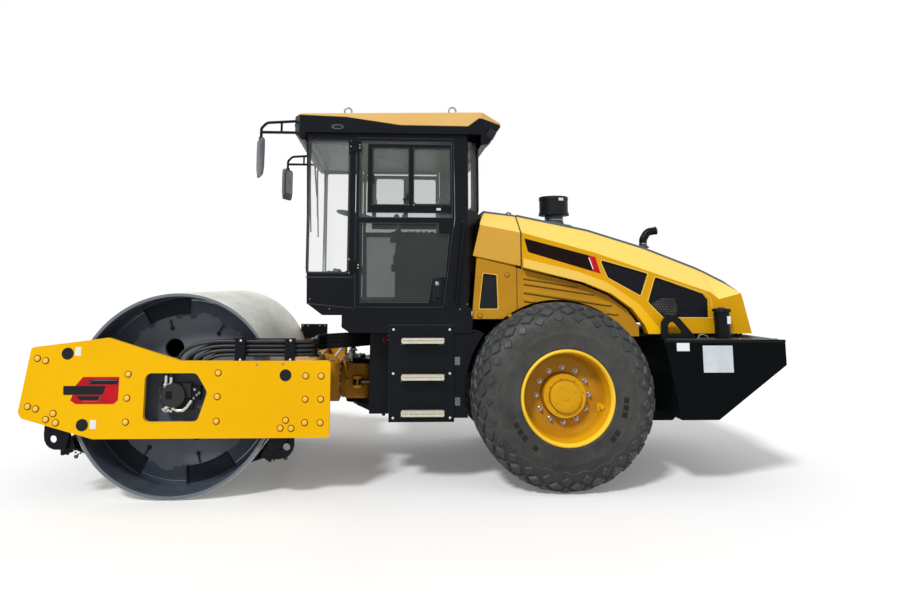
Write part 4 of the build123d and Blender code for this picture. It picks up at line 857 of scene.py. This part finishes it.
for name, side in SIDES:
    door = "door_" + name
    p = Piece("door_panes_" + name, door, side)
    p(DOOR_GLASS).slab(UPPER, (832, 837))
    p(LOW_GLASS).slab(LOWER, (832, 837))
    p.done("glass", "door_glass_" + name, edge=0)

    p = Piece("door_trims_" + name, door, side)
    # Light outlines round the panes and the door: painted highlight.
    p(TRIM_HIGHLIGHT).frame(LOWER, -5, (836, 852))
    p.frame(DOOR, -4, (848, 852))
    p.frame(UPPER, -5, (836, 851))
    for x, z in (((-404, 300), (2736, 2764)), ((-404, 300), (2188, 2250)), ((-404, -369), (2250, 2736)),
                 ((-60, -27), (2250, 2736)), ((286, 300), (2250, 2736))):
        p(BLACK).box(x, (822, 846), z)
    for outline in SLIDERS:
        p(RUBBER).frame(outline, 14, (820, 844), 26)
    p(TRIM_HIGHLIGHT).frame([(-404, 2188), (300, 2188), (300, 2764), (-404, 2764)], 3, (840, 847.5))
    p(PLASTIC).box((-112, -62), (838, 856), (2292, 2306))
    p.slab([(-96, 2306), (-64, 2306), (-64, 2345), (-78, 2352), (-84, 2322)], (838, 854))
    p.box((-368, -352), (838, 850), (2438, 2506))
    p(LABEL_GREY).box((168, 204), (845, 847.5), (2208, 2228))
    p(BLACK).slab([(112, 1452), (228, 1452), (238, 1656), (142, 1648)], (836, 853))
    p(PLASTIC).slab(rounded([(134, 1462), (202, 1462), (210, 1642), (140, 1642)], 12), (850, 860))
    p(STEEL).turned((172, 858, 1606), [(17, 0), (17, 9), (13, 12), (5, 13)])
    p(PLASTIC).loft([[(176 + a, 858 + b, 1588 - c * 110) for a, b in ((-13, 0), (13, 0), (11, h), (-11, h))]
                     for c, h in ((0, 8), (0.12, 26), (0.85, 28), (1, 12))])
    for z in (1730, 1754, 2726, 2750):
        p(STEEL).bolt((-474, 862, z), 6)
    p(BLACK).box((-496, -462), (846, 853), (2690, 2794))
    p.done("black_paint", edge=0.8)

    p = Piece("cab_trims_" + name, "rear_frame", side)
    # Light outlines round the quarter pane and lines along the cab's lower edge: painted highlight.
    p(TRIM_HIGHLIGHT).frame(QUARTER, -6, (838, 852), 22)
    p(RUBBER).frame(QUARTER, 10, (846, 853), 26)
    p(TRIM_HIGHLIGHT).box((-904, -512), (849, 852), (1655, 1659))
    p.box((-897, -518), (849, 851.5), (1650, 1653))
    p.slab([(-885, 1441), (-885, 1447), (-500, 1408), (-500, 1404)], (840, 850.6))
    p(BLACK).box((-566, -508), (849, 853), (2672, 2808))
    p.frame([(-556, 2682), (-520, 2682), (-520, 2798), (-556, 2798)], 3, (850, 855))
    for z in (1712, 1772, 2700, 2740, 2780, 1800, 1690):
        p(STEEL).bolt((-548, 853, z), 5.5)
    # Grab rail on its two mounts, at the rear edge of the door.
    p(BLACK).tube([(386, 846, 2112), (388, 880, 2108), (390, 886, 2090), (330, 886, 1470), (326, 880, 1450),
                   (324, 846, 1446)], 11, 12)
    for x, z in ((386, 2112), (324, 1446)):
        p(PLASTIC).turned((x, 848, z), [(17, 0), (17, 6), (13, 10)], 16)
    # Oval lamp in the roof's side, and round work lamps under its tail and its front edge.
    for finish, wide, tall, steps, y in ((PLASTIC, 62, 30, 28, (874, 887)),
                                         (GREY_PLASTIC, 48, 20, 24, (880, 889)),
                                         (PLASTIC, 40, 14, 24, (884, 890.5))):
        p(finish).slab([(-660 + wide * cos(a), 2898 + tall * sin(a)) for a in turns(steps)], y)
    for y, x, z in ((812, 628, 2850), (590, 632, 2856)):
        for finish, profile, steps in ((PLASTIC, [(58, -40), (62, 0), (62, 22), (54, 26)], 24),
                                       (GREY_PLASTIC, [(50, 18), (50, 28), (20, 33)], 24),
                                       (STEEL, [(14, 28), (14, 36)], 16)):
            p(finish).turned((x, y, z), profile, steps, (0.81, 0, -0.58))
        for finish, profile in ((PLASTIC, [(52, -30), (56, 0), (56, 14), (48, 18)]),
                                (GREY_PLASTIC, [(46, 12), (46, 20), (18, 24)])):
            p(finish).turned((-1000, y - 60, 2900), profile, 24, (-0.94, 0, -0.34))
    for x, z in ((-578, 3012), (302, 3028)):
        p(STEEL).turned((x, 840, z), [(20, 0), (20, 7), (12, 9)], 16, UP)
    for x, z in ((-860, 1480), (-700, 1400), (360, 1400), (420, 1440)):
        p.stud((x, 849, z), 5, 3.5)
    p.done("black_paint", edge=0.8)

    p = Piece("mirror_" + name, "rear_frame", side)
    turn = Matrix.Rotation(radians(-20 * side), 4, "Z")
    turn = Matrix.Translation((MIRROR_AXIS[0], side * MIRROR_AXIS[1], 0)) @ turn
    p(GREY_PLASTIC).loft([[(a * s, d, 2650 + (b - 2650) * (0.5 + s / 2)) for a, b in MIRROR_HEAD]
                          for d, s in MIRROR_RINGS], turn)
    p(MIRROR).loft([[(d, 76 * a, z) for a, z in MIRROR_FACE] for d in (14, 22)], turn)
    p(PLASTIC).turned((*MIRROR_AXIS, 2800), [(20, -6), (20, 22), (14, 30)], 16, UP)
    p.done("black_plastic", edge=3)
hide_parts("mirrors")

p = Piece("cab_front_details", "rear_frame")
for y in (-330, 330):
    p(PLASTIC).box((-968, -935), (y - 34, y + 34), (2858, 2922))
    p.tube([(-950, y, 2885), (-975, y, 2860), (-968, y + 6, 2700), (-948, y + 12, 2470)], 8)
    p(RUBBER).tube([(-938, y + 12, 2800), (-946, y + 12, 2720), (-938, y + 12, 2400), (-925, y + 12, 2060)],
                   7)
    p(STEEL).tube([(-952, y + 12, 2720), (-950, y + 12, 2500), (-940, y + 12, 2250)], 4, 6)
for y in ((-726, -716), (716, 726)):
    p(TRIM_HIGHLIGHT).box((-912, -899), y, (1690, 2794))
p(HEADLINER).box((-842, 452), (-786, 786), (2806, 2818))
p(GREY_PLASTIC).turned((-300, 0, 2806), [(70, 0), (70, 6), (60, 12)], 24, (0, 0, -1))
p.done("black_plastic")

# ---------------------------------------------------------------- operator's place

p = Piece("cab_controls", "rear_frame")
p(FLOOR_MAT).box((-790, 425), (-790, 790), (1456, 1466))
p(PLASTIC).slab([(-838, 1458), (-640, 1458), (-652, 1610), (-688, 1704), (-770, 1722), (-846, 1690)],
                (-190, 190))
p(GREY_PLASTIC).slab([(-742, 1712), (-694, 1704), (-680, 1738), (-724, 1744)], (-170, 170))
for y in range(-125, 126, 50):
    p(RUBBER).turned((-684, y, 1726), [(11, 0), (11, 6), (8, 9)], 12, (0.94, 0, 0.34))
for y in (-185, 185):
    p.box((-50, 40), (-40, 40), (0, 15), Matrix.Translation((-600, y, 1500)) @ Matrix.Rotation(-0.6, 4, "Y"))
LEVER = (-0.12, 0, 1)
for p.side in (-1, 1):
    p(PLASTIC).slab(rounded([(-210, 2010), (330, 2010), (330, 2052), (-210, 2064)], 16), (276, 412))
    p(RUBBER).turned((-140, 345, 2050), [(36, 0), (34, 18), (20, 36), (13, 46)], 16, UP)
    p(STEEL).stud((-140, 345, 2080), 8, 90, 12, LEVER)
    p(PLASTIC).turned((-152, 345, 2166), [(14, 0), (24, 16), (25, 44), (14, 60)], 16, LEVER)
    for x in range(-60, 149, 52):
        p(GREY_PLASTIC).box((x, x + 34), (300, 328), (2050, 2066))
        p(RED if x == 148 and p.side > 0 else RUBBER)
        p.turned((x + 16, 366, 2054), [(14, 0), (14, 14), (9, 17)], 12, UP)
p.done("black_plastic")


SWELL, SEAM = 0.024, 0.007  # metres: how far a seat pad may swell, and half the width of its seams


def cushion(name, node, corners, seams):
    """A seat pad swelled by cloth simulation from a rounded block, with sewn channels.

    A seam is an axis, a place along it and a depth.
    """
    low, high = (Vector(c) * MM for c in corners)
    size = high - low
    mesh = bmesh.new()
    bmesh.ops.create_cube(mesh, size=1.0)
    bmesh.ops.scale(mesh, vec=size, verts=mesh.verts)
    bmesh.ops.bevel(mesh, geom=mesh.edges[:], offset=min(size) * 0.3, segments=3, affect="EDGES", profile=0.5)
    data = bpy.data.meshes.new(name)
    mesh.to_mesh(data)
    mesh.free()
    pad = placed(name, data)
    bpy.context.view_layer.objects.active = pad
    grid = pad.modifiers.new("grid", "REMESH")
    grid.mode = "VOXEL"
    grid.voxel_size = 0.008
    shape = evaluated(pad)
    pad.modifiers.clear()
    pad.data = shape
    start = [v.co.copy() for v in shape.vertices]
    cloth = pad.modifiers.new("swell", "CLOTH")
    settings, scene = cloth.settings, bpy.context.scene
    settings.use_pressure = True
    settings.uniform_pressure_force = 4.0
    settings.effector_weights.gravity = 0.0
    settings.tension_stiffness = 12
    settings.bending_stiffness = 0.6
    settings.quality = 5
    for step in range(1, 21):
        scene.frame_set(step)
    swelled = evaluated(pad)
    scene.frame_set(1)
    pad.modifiers.clear()
    pad.data = swelled
    for vertex, place in zip(swelled.vertices, start):
        move = vertex.co - place
        vertex.co = place + move * min(1, SWELL / max(move.length, 1e-9))
    half = size / 2
    thin = min(range(3), key=lambda i: size[i])
    for vertex in pad.data.vertices:
        co = vertex.co
        for i in range(3):
            co[i] = max(-half[i], min(half[i], co[i] * 0.985))
        for axis, place, depth in seams:
            near = exp(-((co[axis] - place * MM) / SEAM) ** 2)
            co[thin] -= copysign(depth * MM, co[thin]) * near * (1 if abs(co[thin]) > half[thin] * 0.5 else 0)
    pad.data.transform(Matrix.Translation((low + high) / 2))
    pad.data.materials.clear()
    pad.data.materials.append(VINYL)
    pad.data.shade_smooth()
    finer = pad.modifiers.new("finer", "SUBSURF")
    finer.levels = finer.render_levels = 1
    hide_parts(node)
    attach(pad, "rear_frame")


cushion("seat_pad", "seat_cushion", ((-198, -238, 1783), (230, 238, 1888)),
        ((1, -120, 6), (1, 120, 6), (0, 60, 5)))
cushion("seat_back_pad", "seat_back", ((238, -238, 1800), (344, 238, 2438)),
        ((1, -120, 6), (1, 120, 6), (2, 90, 5), (2, -120, 5)))

# ---------------------------------------------------------------- hood, cowl and side panels

TOPS = [(884, 2185, 600), (1500, 2062, 600), (2000, 1912, 590), (2470, 1737, 565), (2537, 1706, 565),
        (2708, 1622, 560),
        (2842, 1536, 540)]  # X, Z and half width of the panel on the hood's top
COWL_TOPS = [(594, 2220, 600), (868, 2187, 600)]
GRILLES = ([(1538, 1810), (1942, 1695), (1875, 1510), (1601, 1662)],
           [(2001, 1668), (2410, 1535), (2463, 1486), (2482, 1334), (2059, 1334), (1932, 1462)])
CORE = [(1960, 1450), (2060, 1500), (2170, 1490), (2190, 1400), (2160, 1345), (2065, 1345)]
PITCH = 23.0  # of the honeycomb
ROW = PITCH * 0.866
LOUVRE_START, LOUVRE_FALL, ARCH = 891, 0.145, 750  # X, slope, and the wheel arch's radius
LOUVRES = ((1646, 1330), (1601, 1468), (1530, 1610), (1463, 1660))  # Z at the start, X of the end
SIDE_GRID = [(530, 1404), (560, 1692), (668, 1676), (676, 1404)]


def inside_of(outline, x, z):
    within = False
    for (x1, z1), (x2, z2) in zip(outline[-1:] + outline, outline):
        if (z1 > z) != (z2 > z) and x < (x2 - x1) * (z - z1) / (z2 - z1) + x1:
            within = not within
    return within


def louvre_z(z0, x):
    """Height of a louvre's lower edge."""
    return z0 - (x - LOUVRE_START) * LOUVRE_FALL


def ridge(x, z, half, height):
    """A cross-section of a flat panel that stands over the cover, with cut corners."""
    corners = ((-half, -3), (half, -3), (half, height), (half - 5, height + 3), (5 - half, height + 3),
               (-half, height))
    return [(x, y, z + up) for y, up in corners]


p = Piece("hood_top_panel", "hood")(GREY_PAINT)
p.loft([ridge(*spot, 17) for spot in TOPS])
p.done("dark_paint", edge=2)
p = Piece("cowl_top_panel", "rear_frame")
p(GREY_PAINT).loft([ridge(*spot, 12) for spot in COWL_TOPS])
p(RUBBER).tube([(876, -822, 1760), (876, -822, 2034), (876, -602, 2189), (876, 602, 2189), (876, 822, 2034),
                (876, 822, 1760)], 4)
for p.side in (-1, 1):
    p(BLACK).tube([(802, 560, 2192), (800, 560, 2216), (820, 560, 2226), (846, 560, 2212)], 6)
    p.turned((800, 560, 2190), [(16, 0), (16, 8), (10, 11)], 14, UP)
p.done("dark_paint", edge=1)

for name, side in SIDES:
    p = Piece("grille_mesh_" + name, "hood", side)(WIRE)
    for outline in GRILLES:
        field = spread(outline, -12)
        (low_x, high_x), (low_z, high_z) = ((min(along), max(along)) for along in zip(*field))
        for row in range(int((high_z - low_z) / ROW) + 1):
            for column in range(int((high_x - low_x) / PITCH) + 2):
                x, z = low_x + (column + 0.5 * (row % 2)) * PITCH, low_z + row * ROW
                if inside_of(field, x, z):
                    p.loft([[(x + r * sin(a), y, z + r * cos(a)) for a in turns(6)]
                            for r, y in ((10.3, 807), (13.2, 807), (13.2, 811), (10.3, 811))], closed=True)
    p.done("black_plastic", edge=0)

    p = Piece("hood_trims_" + name, "hood", side)
    for finish, high, outline in (
            (DECAL_BLACK, 821, [(905, 1984), (1444, 1845), (1478, 1712), (946, 1866), (932, 1876)]),
            (RED, 821.4, [(1444, 1845), (1500, 1831), (1540, 1694), (1478, 1712)]),
            (LABEL, 822, [(1441, 1828), (1450, 1826), (1482, 1728), (1474, 1730)])):
        p(finish).slab(outline, (819, high))
    for outline in GRILLES:
        # Pale frame round each grille: painted highlight.
        p(LIT_YELLOW_EDGE).frame(outline, 7, (800, 822.5), 18)
    p(PATCH).slab(spread(CORE, -4), (806, 807.4))
    for x, z in ((2520, 1260), (960, 1760)):
        p(DECAL_BLACK).turned((x, 820, z), [(7, -1), (7, 2.5)], 10)
    p.done("yellow_paint", edge=0.3)

    p = Piece("panel_details_" + name, "rear_frame", side)
    p(PLASTIC).slab([(506, 1386), (544, 1712), (686, 1694), (694, 1386)], (786, 797))
    # Pale frame round the vent: painted highlight.
    p(LIT_YELLOW_EDGE).frame([(516, 1396), (552, 1700), (676, 1684), (684, 1396)], -7, (797, 814), 12)
    for x0 in range(536, 665, 16):
        for k in range(22):
            x, z = x0 + (4 if k > 10 else 0), 1412 + k * 12.4
            if inside_of(SIDE_GRID, x, z):
                p(WIRE).turned((x, 797, z), [(3.6, 0), (3.2, 1.6)], 6)
    for x, z in ((758, 1680), (530, 1346), (776, 1346)):
        # Dark ring round each knob: painted shade.
        p(JOINT_AND_SHADOW).turned((x, 811.5, z), [(21, -1), (21, 1.2), (17, 1.5)], 22)
        p(SHADED_LOUVRE_YELLOW).turned((x, 812, z), [(16.5, 0), (16.5, 6), (12, 9), (4, 9.5)])
    # Long louvres that stop short of the arch: each run of places clear of it is one louvre.
    for z0, end in LOUVRES:
        run = []
        for x in [LOUVRE_START + (end - LOUVRE_START) * k / 60 for k in range(61)] + [WHEEL[0]]:
            if x != WHEEL[0] and hypot(x - WHEEL[0], louvre_z(z0, x) - WHEEL[1]) > ARCH:
                run.append(x)
                continue
            if run and run[-1] - run[0] >= 40:
                x0, x1 = run[0], run[-1]
                high, low = louvre_z(z0, x0), louvre_z(z0, x1)
                p(SHADED_LOUVRE_YELLOW).loft([[(x0 + e, y, high + 36 - e), (x1 - e, y, low + 30 - e),
                                 (x1 + 16 - e, y, low + 22 - e),
                                 (x1 + 20 - e, y, low + 12), (x1 + 12 - e, y, low + e),
                                 (x1 - e, y, low - 1 + e),
                                 (x0 + e, y, high + e)] for y, e in ((810, 0), (815, 1), (821, 8))])
                # Dark band under each louvre: painted shadow.
                p(JOINT_AND_SHADOW).slab([(x0, high + 1), (x1 + 4, low), (x1 + 20, low + 8), (x1 + 24, low + 6),
                                   (x1 + 6, low - 7), (x0, high - 6)], (811, 813.4))
            run = []
    p(JOINT_AND_SHADOW).box((836, 840), (806, 812.5), (1240, 1742))
    for x in (700, 900):
        p(STEEL).stud((x, 812, 1338), 6, 3)
    p.done("yellow_paint", edge=0.5)

AIR = (1345, -60)  # X and Y of the precleaner's axis
p = Piece("precleaner_details", "hood")
p(GREY_PAINT).loft([[(1252 + i, -150 + i, z0), (1500 - i, -150 + i, z1), (1500 - i, 30 - i, z1),
                     (1252 + i, 30 - i, z0)]
                    for i, z0, z1 in ((0, 2090, 2045), (0, 2178, 2146), (16, 2192, 2160))])
for finish, z, steps, profile in (
        (PLASTIC, 2252, 40, [(143, 0), (143, 14), (137, 18), (136, 30)]),
        (PLASTIC, 2395, 40, [(136, 0), (138, 4), (138, 26), (132, 35)]),
        (GREY_PAINT, 2160, 28, [(92, 0), (92, 30), (86, 34), (86, 90)]),
        (STEEL, 2205, 28, [(88, 0), (88, 12)]),
        (STEEL, 2428, 12, [(12, 0), (12, 5), (7, 6), (7, 18)])):
    p(finish).turned((*AIR, z), profile, steps, UP)
for a in turns(12):
    p(BLACK).stud((AIR[0] + 118 * cos(a), AIR[1] + 118 * sin(a), 2429), 5, 3, 8, UP)
edge = [(a, 2384) for a in (0.12, 0.24, 0.36, 0.48)] + [(a, 2410) for a in (0.48, 0.36, 0.24, 0.12)]
p(LABEL).loft([[(AIR[0] + r * sin(a), AIR[1] - r * cos(a), z) for a, z in edge] for r in (133, 139.5)])
p.done("black_plastic", edge=1)

PIPE = (2200, -60)  # X and Y of the tail pipe
p = Piece("tail_pipe_details", "hood")
p(PIPE_IRON).turned((*PIPE, 1950), [(52, 0), (52, 14), (40, 20), (37, 30)], 24, UP)
p.turned((PIPE[0] + 122, PIPE[1], 2117), [(37.5, 0), (39, 3), (39, 9), (33, 10), (32, -2)], 24, (1, 0, 0.15))
p(STEEL).stud((*PIPE, 1985), 38.5, 12, 24, UP)
p.done("engine_iron", edge=0.8)

# ---------------------------------------------------------------- wheels

RIM_FACE, TYRE_MIDDLE = 900, 815  # Y
TYRE_HALF = [(352, 262), (372, 270), (388, 276), (402, 272), (440, 277), (486, 279), (494, 281), (500, 279),
             (540, 278),
             (574, 274), (606, 265), (636, 250), (662, 230), (684, 202), (699, 166), (707, 118), (710, 62)]
SECTION = [(352, 0), *[(r, -w) for r, w in TYRE_HALF], (713, 0), *[(r, w) for r, w in reversed(TYRE_HALF)]]
# Tread rows: distance from the middle, radius, lean, and the blocks' length, width and height.
TREAD_ROWS = ((0, 711, 0, 58, 34, 19), (66, 710, 0.05, 58, 34, 19), (130, 705, 0.2, 58, 34, 21),
              (186, 691, 0.48, 54, 34, 22), (229, 661, 0.8, 52, 32, 20), (257, 616, 1.1, 37, 31, 14))


def block_on(piece, radius, deep, around, lean, length, width, height):
    """A diamond tread block: its foot sits in the tyre, its top stands out along the lean."""
    outward = Vector(spoke((0, 0), 1, around, 0))
    normal = outward * cos(lean) + Vector(OUT) * sin(lean)
    along = Vector((-outward.z, 0, outward.x))
    across = normal.cross(along)
    centre = Vector(spoke(WHEEL, radius, around, deep))
    shape = [(1, 0.13), (0.13, 1), (-0.13, 1), (-1, 0.13), (-1, -0.13), (-0.13, -1), (0.13, -1), (1, -0.13)]
    piece.loft([[centre + along * (u * length * s) + across * (v * width * s) + normal * h for u, v in shape]
                for s, h in ((1.18, -8), (1.1, 2), (0.94, height - 3), (0.86, height))])


for name, side in SIDES:
    wheel = "wheel_" + name
    p = Piece("tyre_tread_" + name, wheel, side)
    p(TYRE).loft([[spoke(WHEEL, r, 360 * k / 104, TYRE_MIDDLE + w) for r, w in SECTION] for k in range(104)],
                 closed=True)
    for row, (deep, radius, lean, *size) in enumerate(TREAD_ROWS):
        for sign in (-1, 1) if deep else (1,):
            for k in range(25):
                around = 9.1 + 14.4 * (k + 0.5 * ((row + 1) % 2))
                block_on(p(TYRE_BLOCK), radius, TYRE_MIDDLE + sign * deep, around, sign * lean, *size)
    for sign in (-1, 1):
        wave = [(1.8 * k, cos(radians(45 * k))) for k in range(201)]
        line = [spoke(WHEEL, 556 + 10 * up, b, TYRE_MIDDLE + sign * (276 - 2.5 * up)) for b, up in wave]
        p(TYRE_LINE).tube(line, 2.6, 5)
    # A few moulded pads on the side, with no lettering.
    for around in (206, 213, 220, 234, 318, 325, 344, 351, 358):
        p(TYRE_PAD).loft([[spoke(WHEEL, 455 + dr * s, around + dt * s, TYRE_MIDDLE + h)
                           for dr, dt in ((-19, -2.578), (19, -2.578), (19, 2.578), (-19, 2.578))]
                          for s, h in ((1.1, 274), (1.0, 280), (0.9, 281.5))])
    p.done("tyre", "tyre_" + name, edge=0, sharp=28)

    p = Piece("wheel_nuts_" + name, wheel, side)
    for k in range(12):
        place = spoke(WHEEL, 212, 30 * k, RIM_FACE)
        p(NUT).turned(place, [(19, -2), (19, 5), (15.5, 7), (15.5, 24), (13, 27)], 6, lean=0.4 + k)
        p.turned(place, [(21, -2), (21, 4)], 18)
        p.turned(place, [(8, 20), (8, 38), (6.5, 40)], 10)
    for k in range(8):
        p(RIM_YELLOW).turned(spoke(WHEEL, 143, 45 * k + 14, 979), [(9, 0), (9, 7), (7, 9)], 6, lean=0.5)
    for k in range(4):
        p.turned(spoke(WHEEL, 84, 90 * k + 30, 1014), [(8, 0), (8, 6), (5, 8)], 12)
    for finish, y, steps, profile in (
            (RIM_DARK, 979, 48, [(129, -1), (129, 1.2), (122, 1.4)]),
            (RIM_DARK, RIM_FACE, 48, [(182, -2), (182, 1), (170, 1.5)]),
            (RIM_YELLOW, 1009, 44, [(112, -4), (112, 3), (98, 7), (60, 9)]),
            (RIM_YELLOW, 1016, 28, [(30, 0), (30, 4), (24, 6)])):
        p(finish).turned((WHEEL[0], y, WHEEL[1]), profile, steps)
    for r, y, thick, finish in ((296, 901, 2.2, RIM_DARK), (358, 1085, 13, RIM_LIP_HIGHLIGHT)):
        p(finish).tube([spoke(WHEEL, r, 3.75 * k, y) for k in range(97)], thick)
    p(RIM_YELLOW).turned(spoke(WHEEL, 322, -17, 905), [(24, -6), (24, 62), (19, 70), (12, 71)])
    p.box((1444, 1500), (RIM_FACE, 930), (604, 666))
    p(NUT).turned(spoke(WHEEL, 322, -17, 974), [(7, 0), (7, 20), (5, 22)], 10)
    p.done("machined_steel", edge=1)

# ---------------------------------------------------------------- floor, lights and camera


def floor_finish():
    """Pale floor: white to the camera where it is lit, and it keeps the machine's shadow."""
    f = Finish("studio_floor", 0.7, 3, 0.3, 0.7, (0.86, 0.86, 0.86, 1), (0.88, 0.88, 0.88, 1))
    ray = f.node("LightPath").outputs
    f.over(ray["Is Diffuse Ray"], (0.42, 0.42, 0.42, 1))
    f.set(0.9, specular_ior_level=0.0)
    looked_at = f.plus(f.plus(ray["Is Camera Ray"], ray["Is Glossy Ray"]), ray["Is Transmission Ray"])
    nothing, glow = (f.node("Emission", (1, 1, 1, 1), strength) for strength in (0.0, FLOOR_GLOW))
    gate = f.node("MixShader", looked_at, nothing.outputs[0], glow.outputs[0])
    both = f.node("AddShader", f.shader.outputs[0], gate.outputs[0])
    f.put(f.nodes["Material Output"].inputs["Surface"], both.outputs[0])
    return f.material


FLOOR_GLOW = 0.125
SKY_LIGHT = 0.62
bpy.ops.mesh.primitive_plane_add(size=90, location=(0, 0, 0))
floor = bpy.context.object
floor.name = "floor"
floor.data.materials.append(floor_finish())

world = bpy.data.worlds.new("studio")
bpy.context.scene.world = world
world.use_nodes = True
sky = world.node_tree.nodes
join = world.node_tree.links.new
ray = sky.new("ShaderNodeLightPath").outputs
seen = ray["Is Camera Ray"]
for kind in ("Is Transmission Ray", "Is Glossy Ray"):
    either = sky.new("ShaderNodeMath")
    either.operation = "MAXIMUM"
    join(seen, either.inputs[0])
    join(ray[kind], either.inputs[1])
    seen = either.outputs[0]
level = sky.new("ShaderNodeMapRange")
level.inputs["To Min"].default_value = SKY_LIGHT
join(seen, level.inputs["Value"])
join(level.outputs[0], sky["Background"].inputs["Strength"])
sky["Background"].inputs["Color"].default_value = (1, 1, 1, 1)

sun = placed("key", bpy.data.lights.new("key", "SUN"))
sun.data.energy = 2.15
sun.data.angle = radians(9)
sun.rotation_euler = Vector((0.46, 0.78, -0.86)).to_track_quat("-Z", "Y").to_euler()

# The camera of the photo, solved from points on the machine.
YAW, PITCH, ROLL = -0.045382515, 0.134531101, -0.003711521
PLACE = (-0.2334, -6.4409, 1.5969)
FOCAL, CENTRE_X, CENTRE_Y = 678.7355, 418.8526, 192.8051  # pixels
WIDTH, HEIGHT, SENSOR = 900, 600, 36
turn = Matrix.Rotation(YAW, 3, "Z") @ Matrix.Rotation(PITCH, 3, "X") @ Matrix.Rotation(ROLL, 3, "Y")
right, forward, up = turn.col
camera = placed("camera", bpy.data.cameras.new("camera"))
camera.matrix_world = Matrix.Translation(PLACE) @ Matrix((right, up, -forward)).transposed().to_4x4()
camera.data.sensor_width = SENSOR
camera.data.lens = FOCAL * SENSOR / WIDTH
camera.data.shift_x = (WIDTH / 2 - CENTRE_X) / WIDTH
camera.data.shift_y = (CENTRE_Y - HEIGHT / 2) / WIDTH
bpy.context.scene.camera = camera
bpy.context.scene.view_settings.view_transform = "Standard"
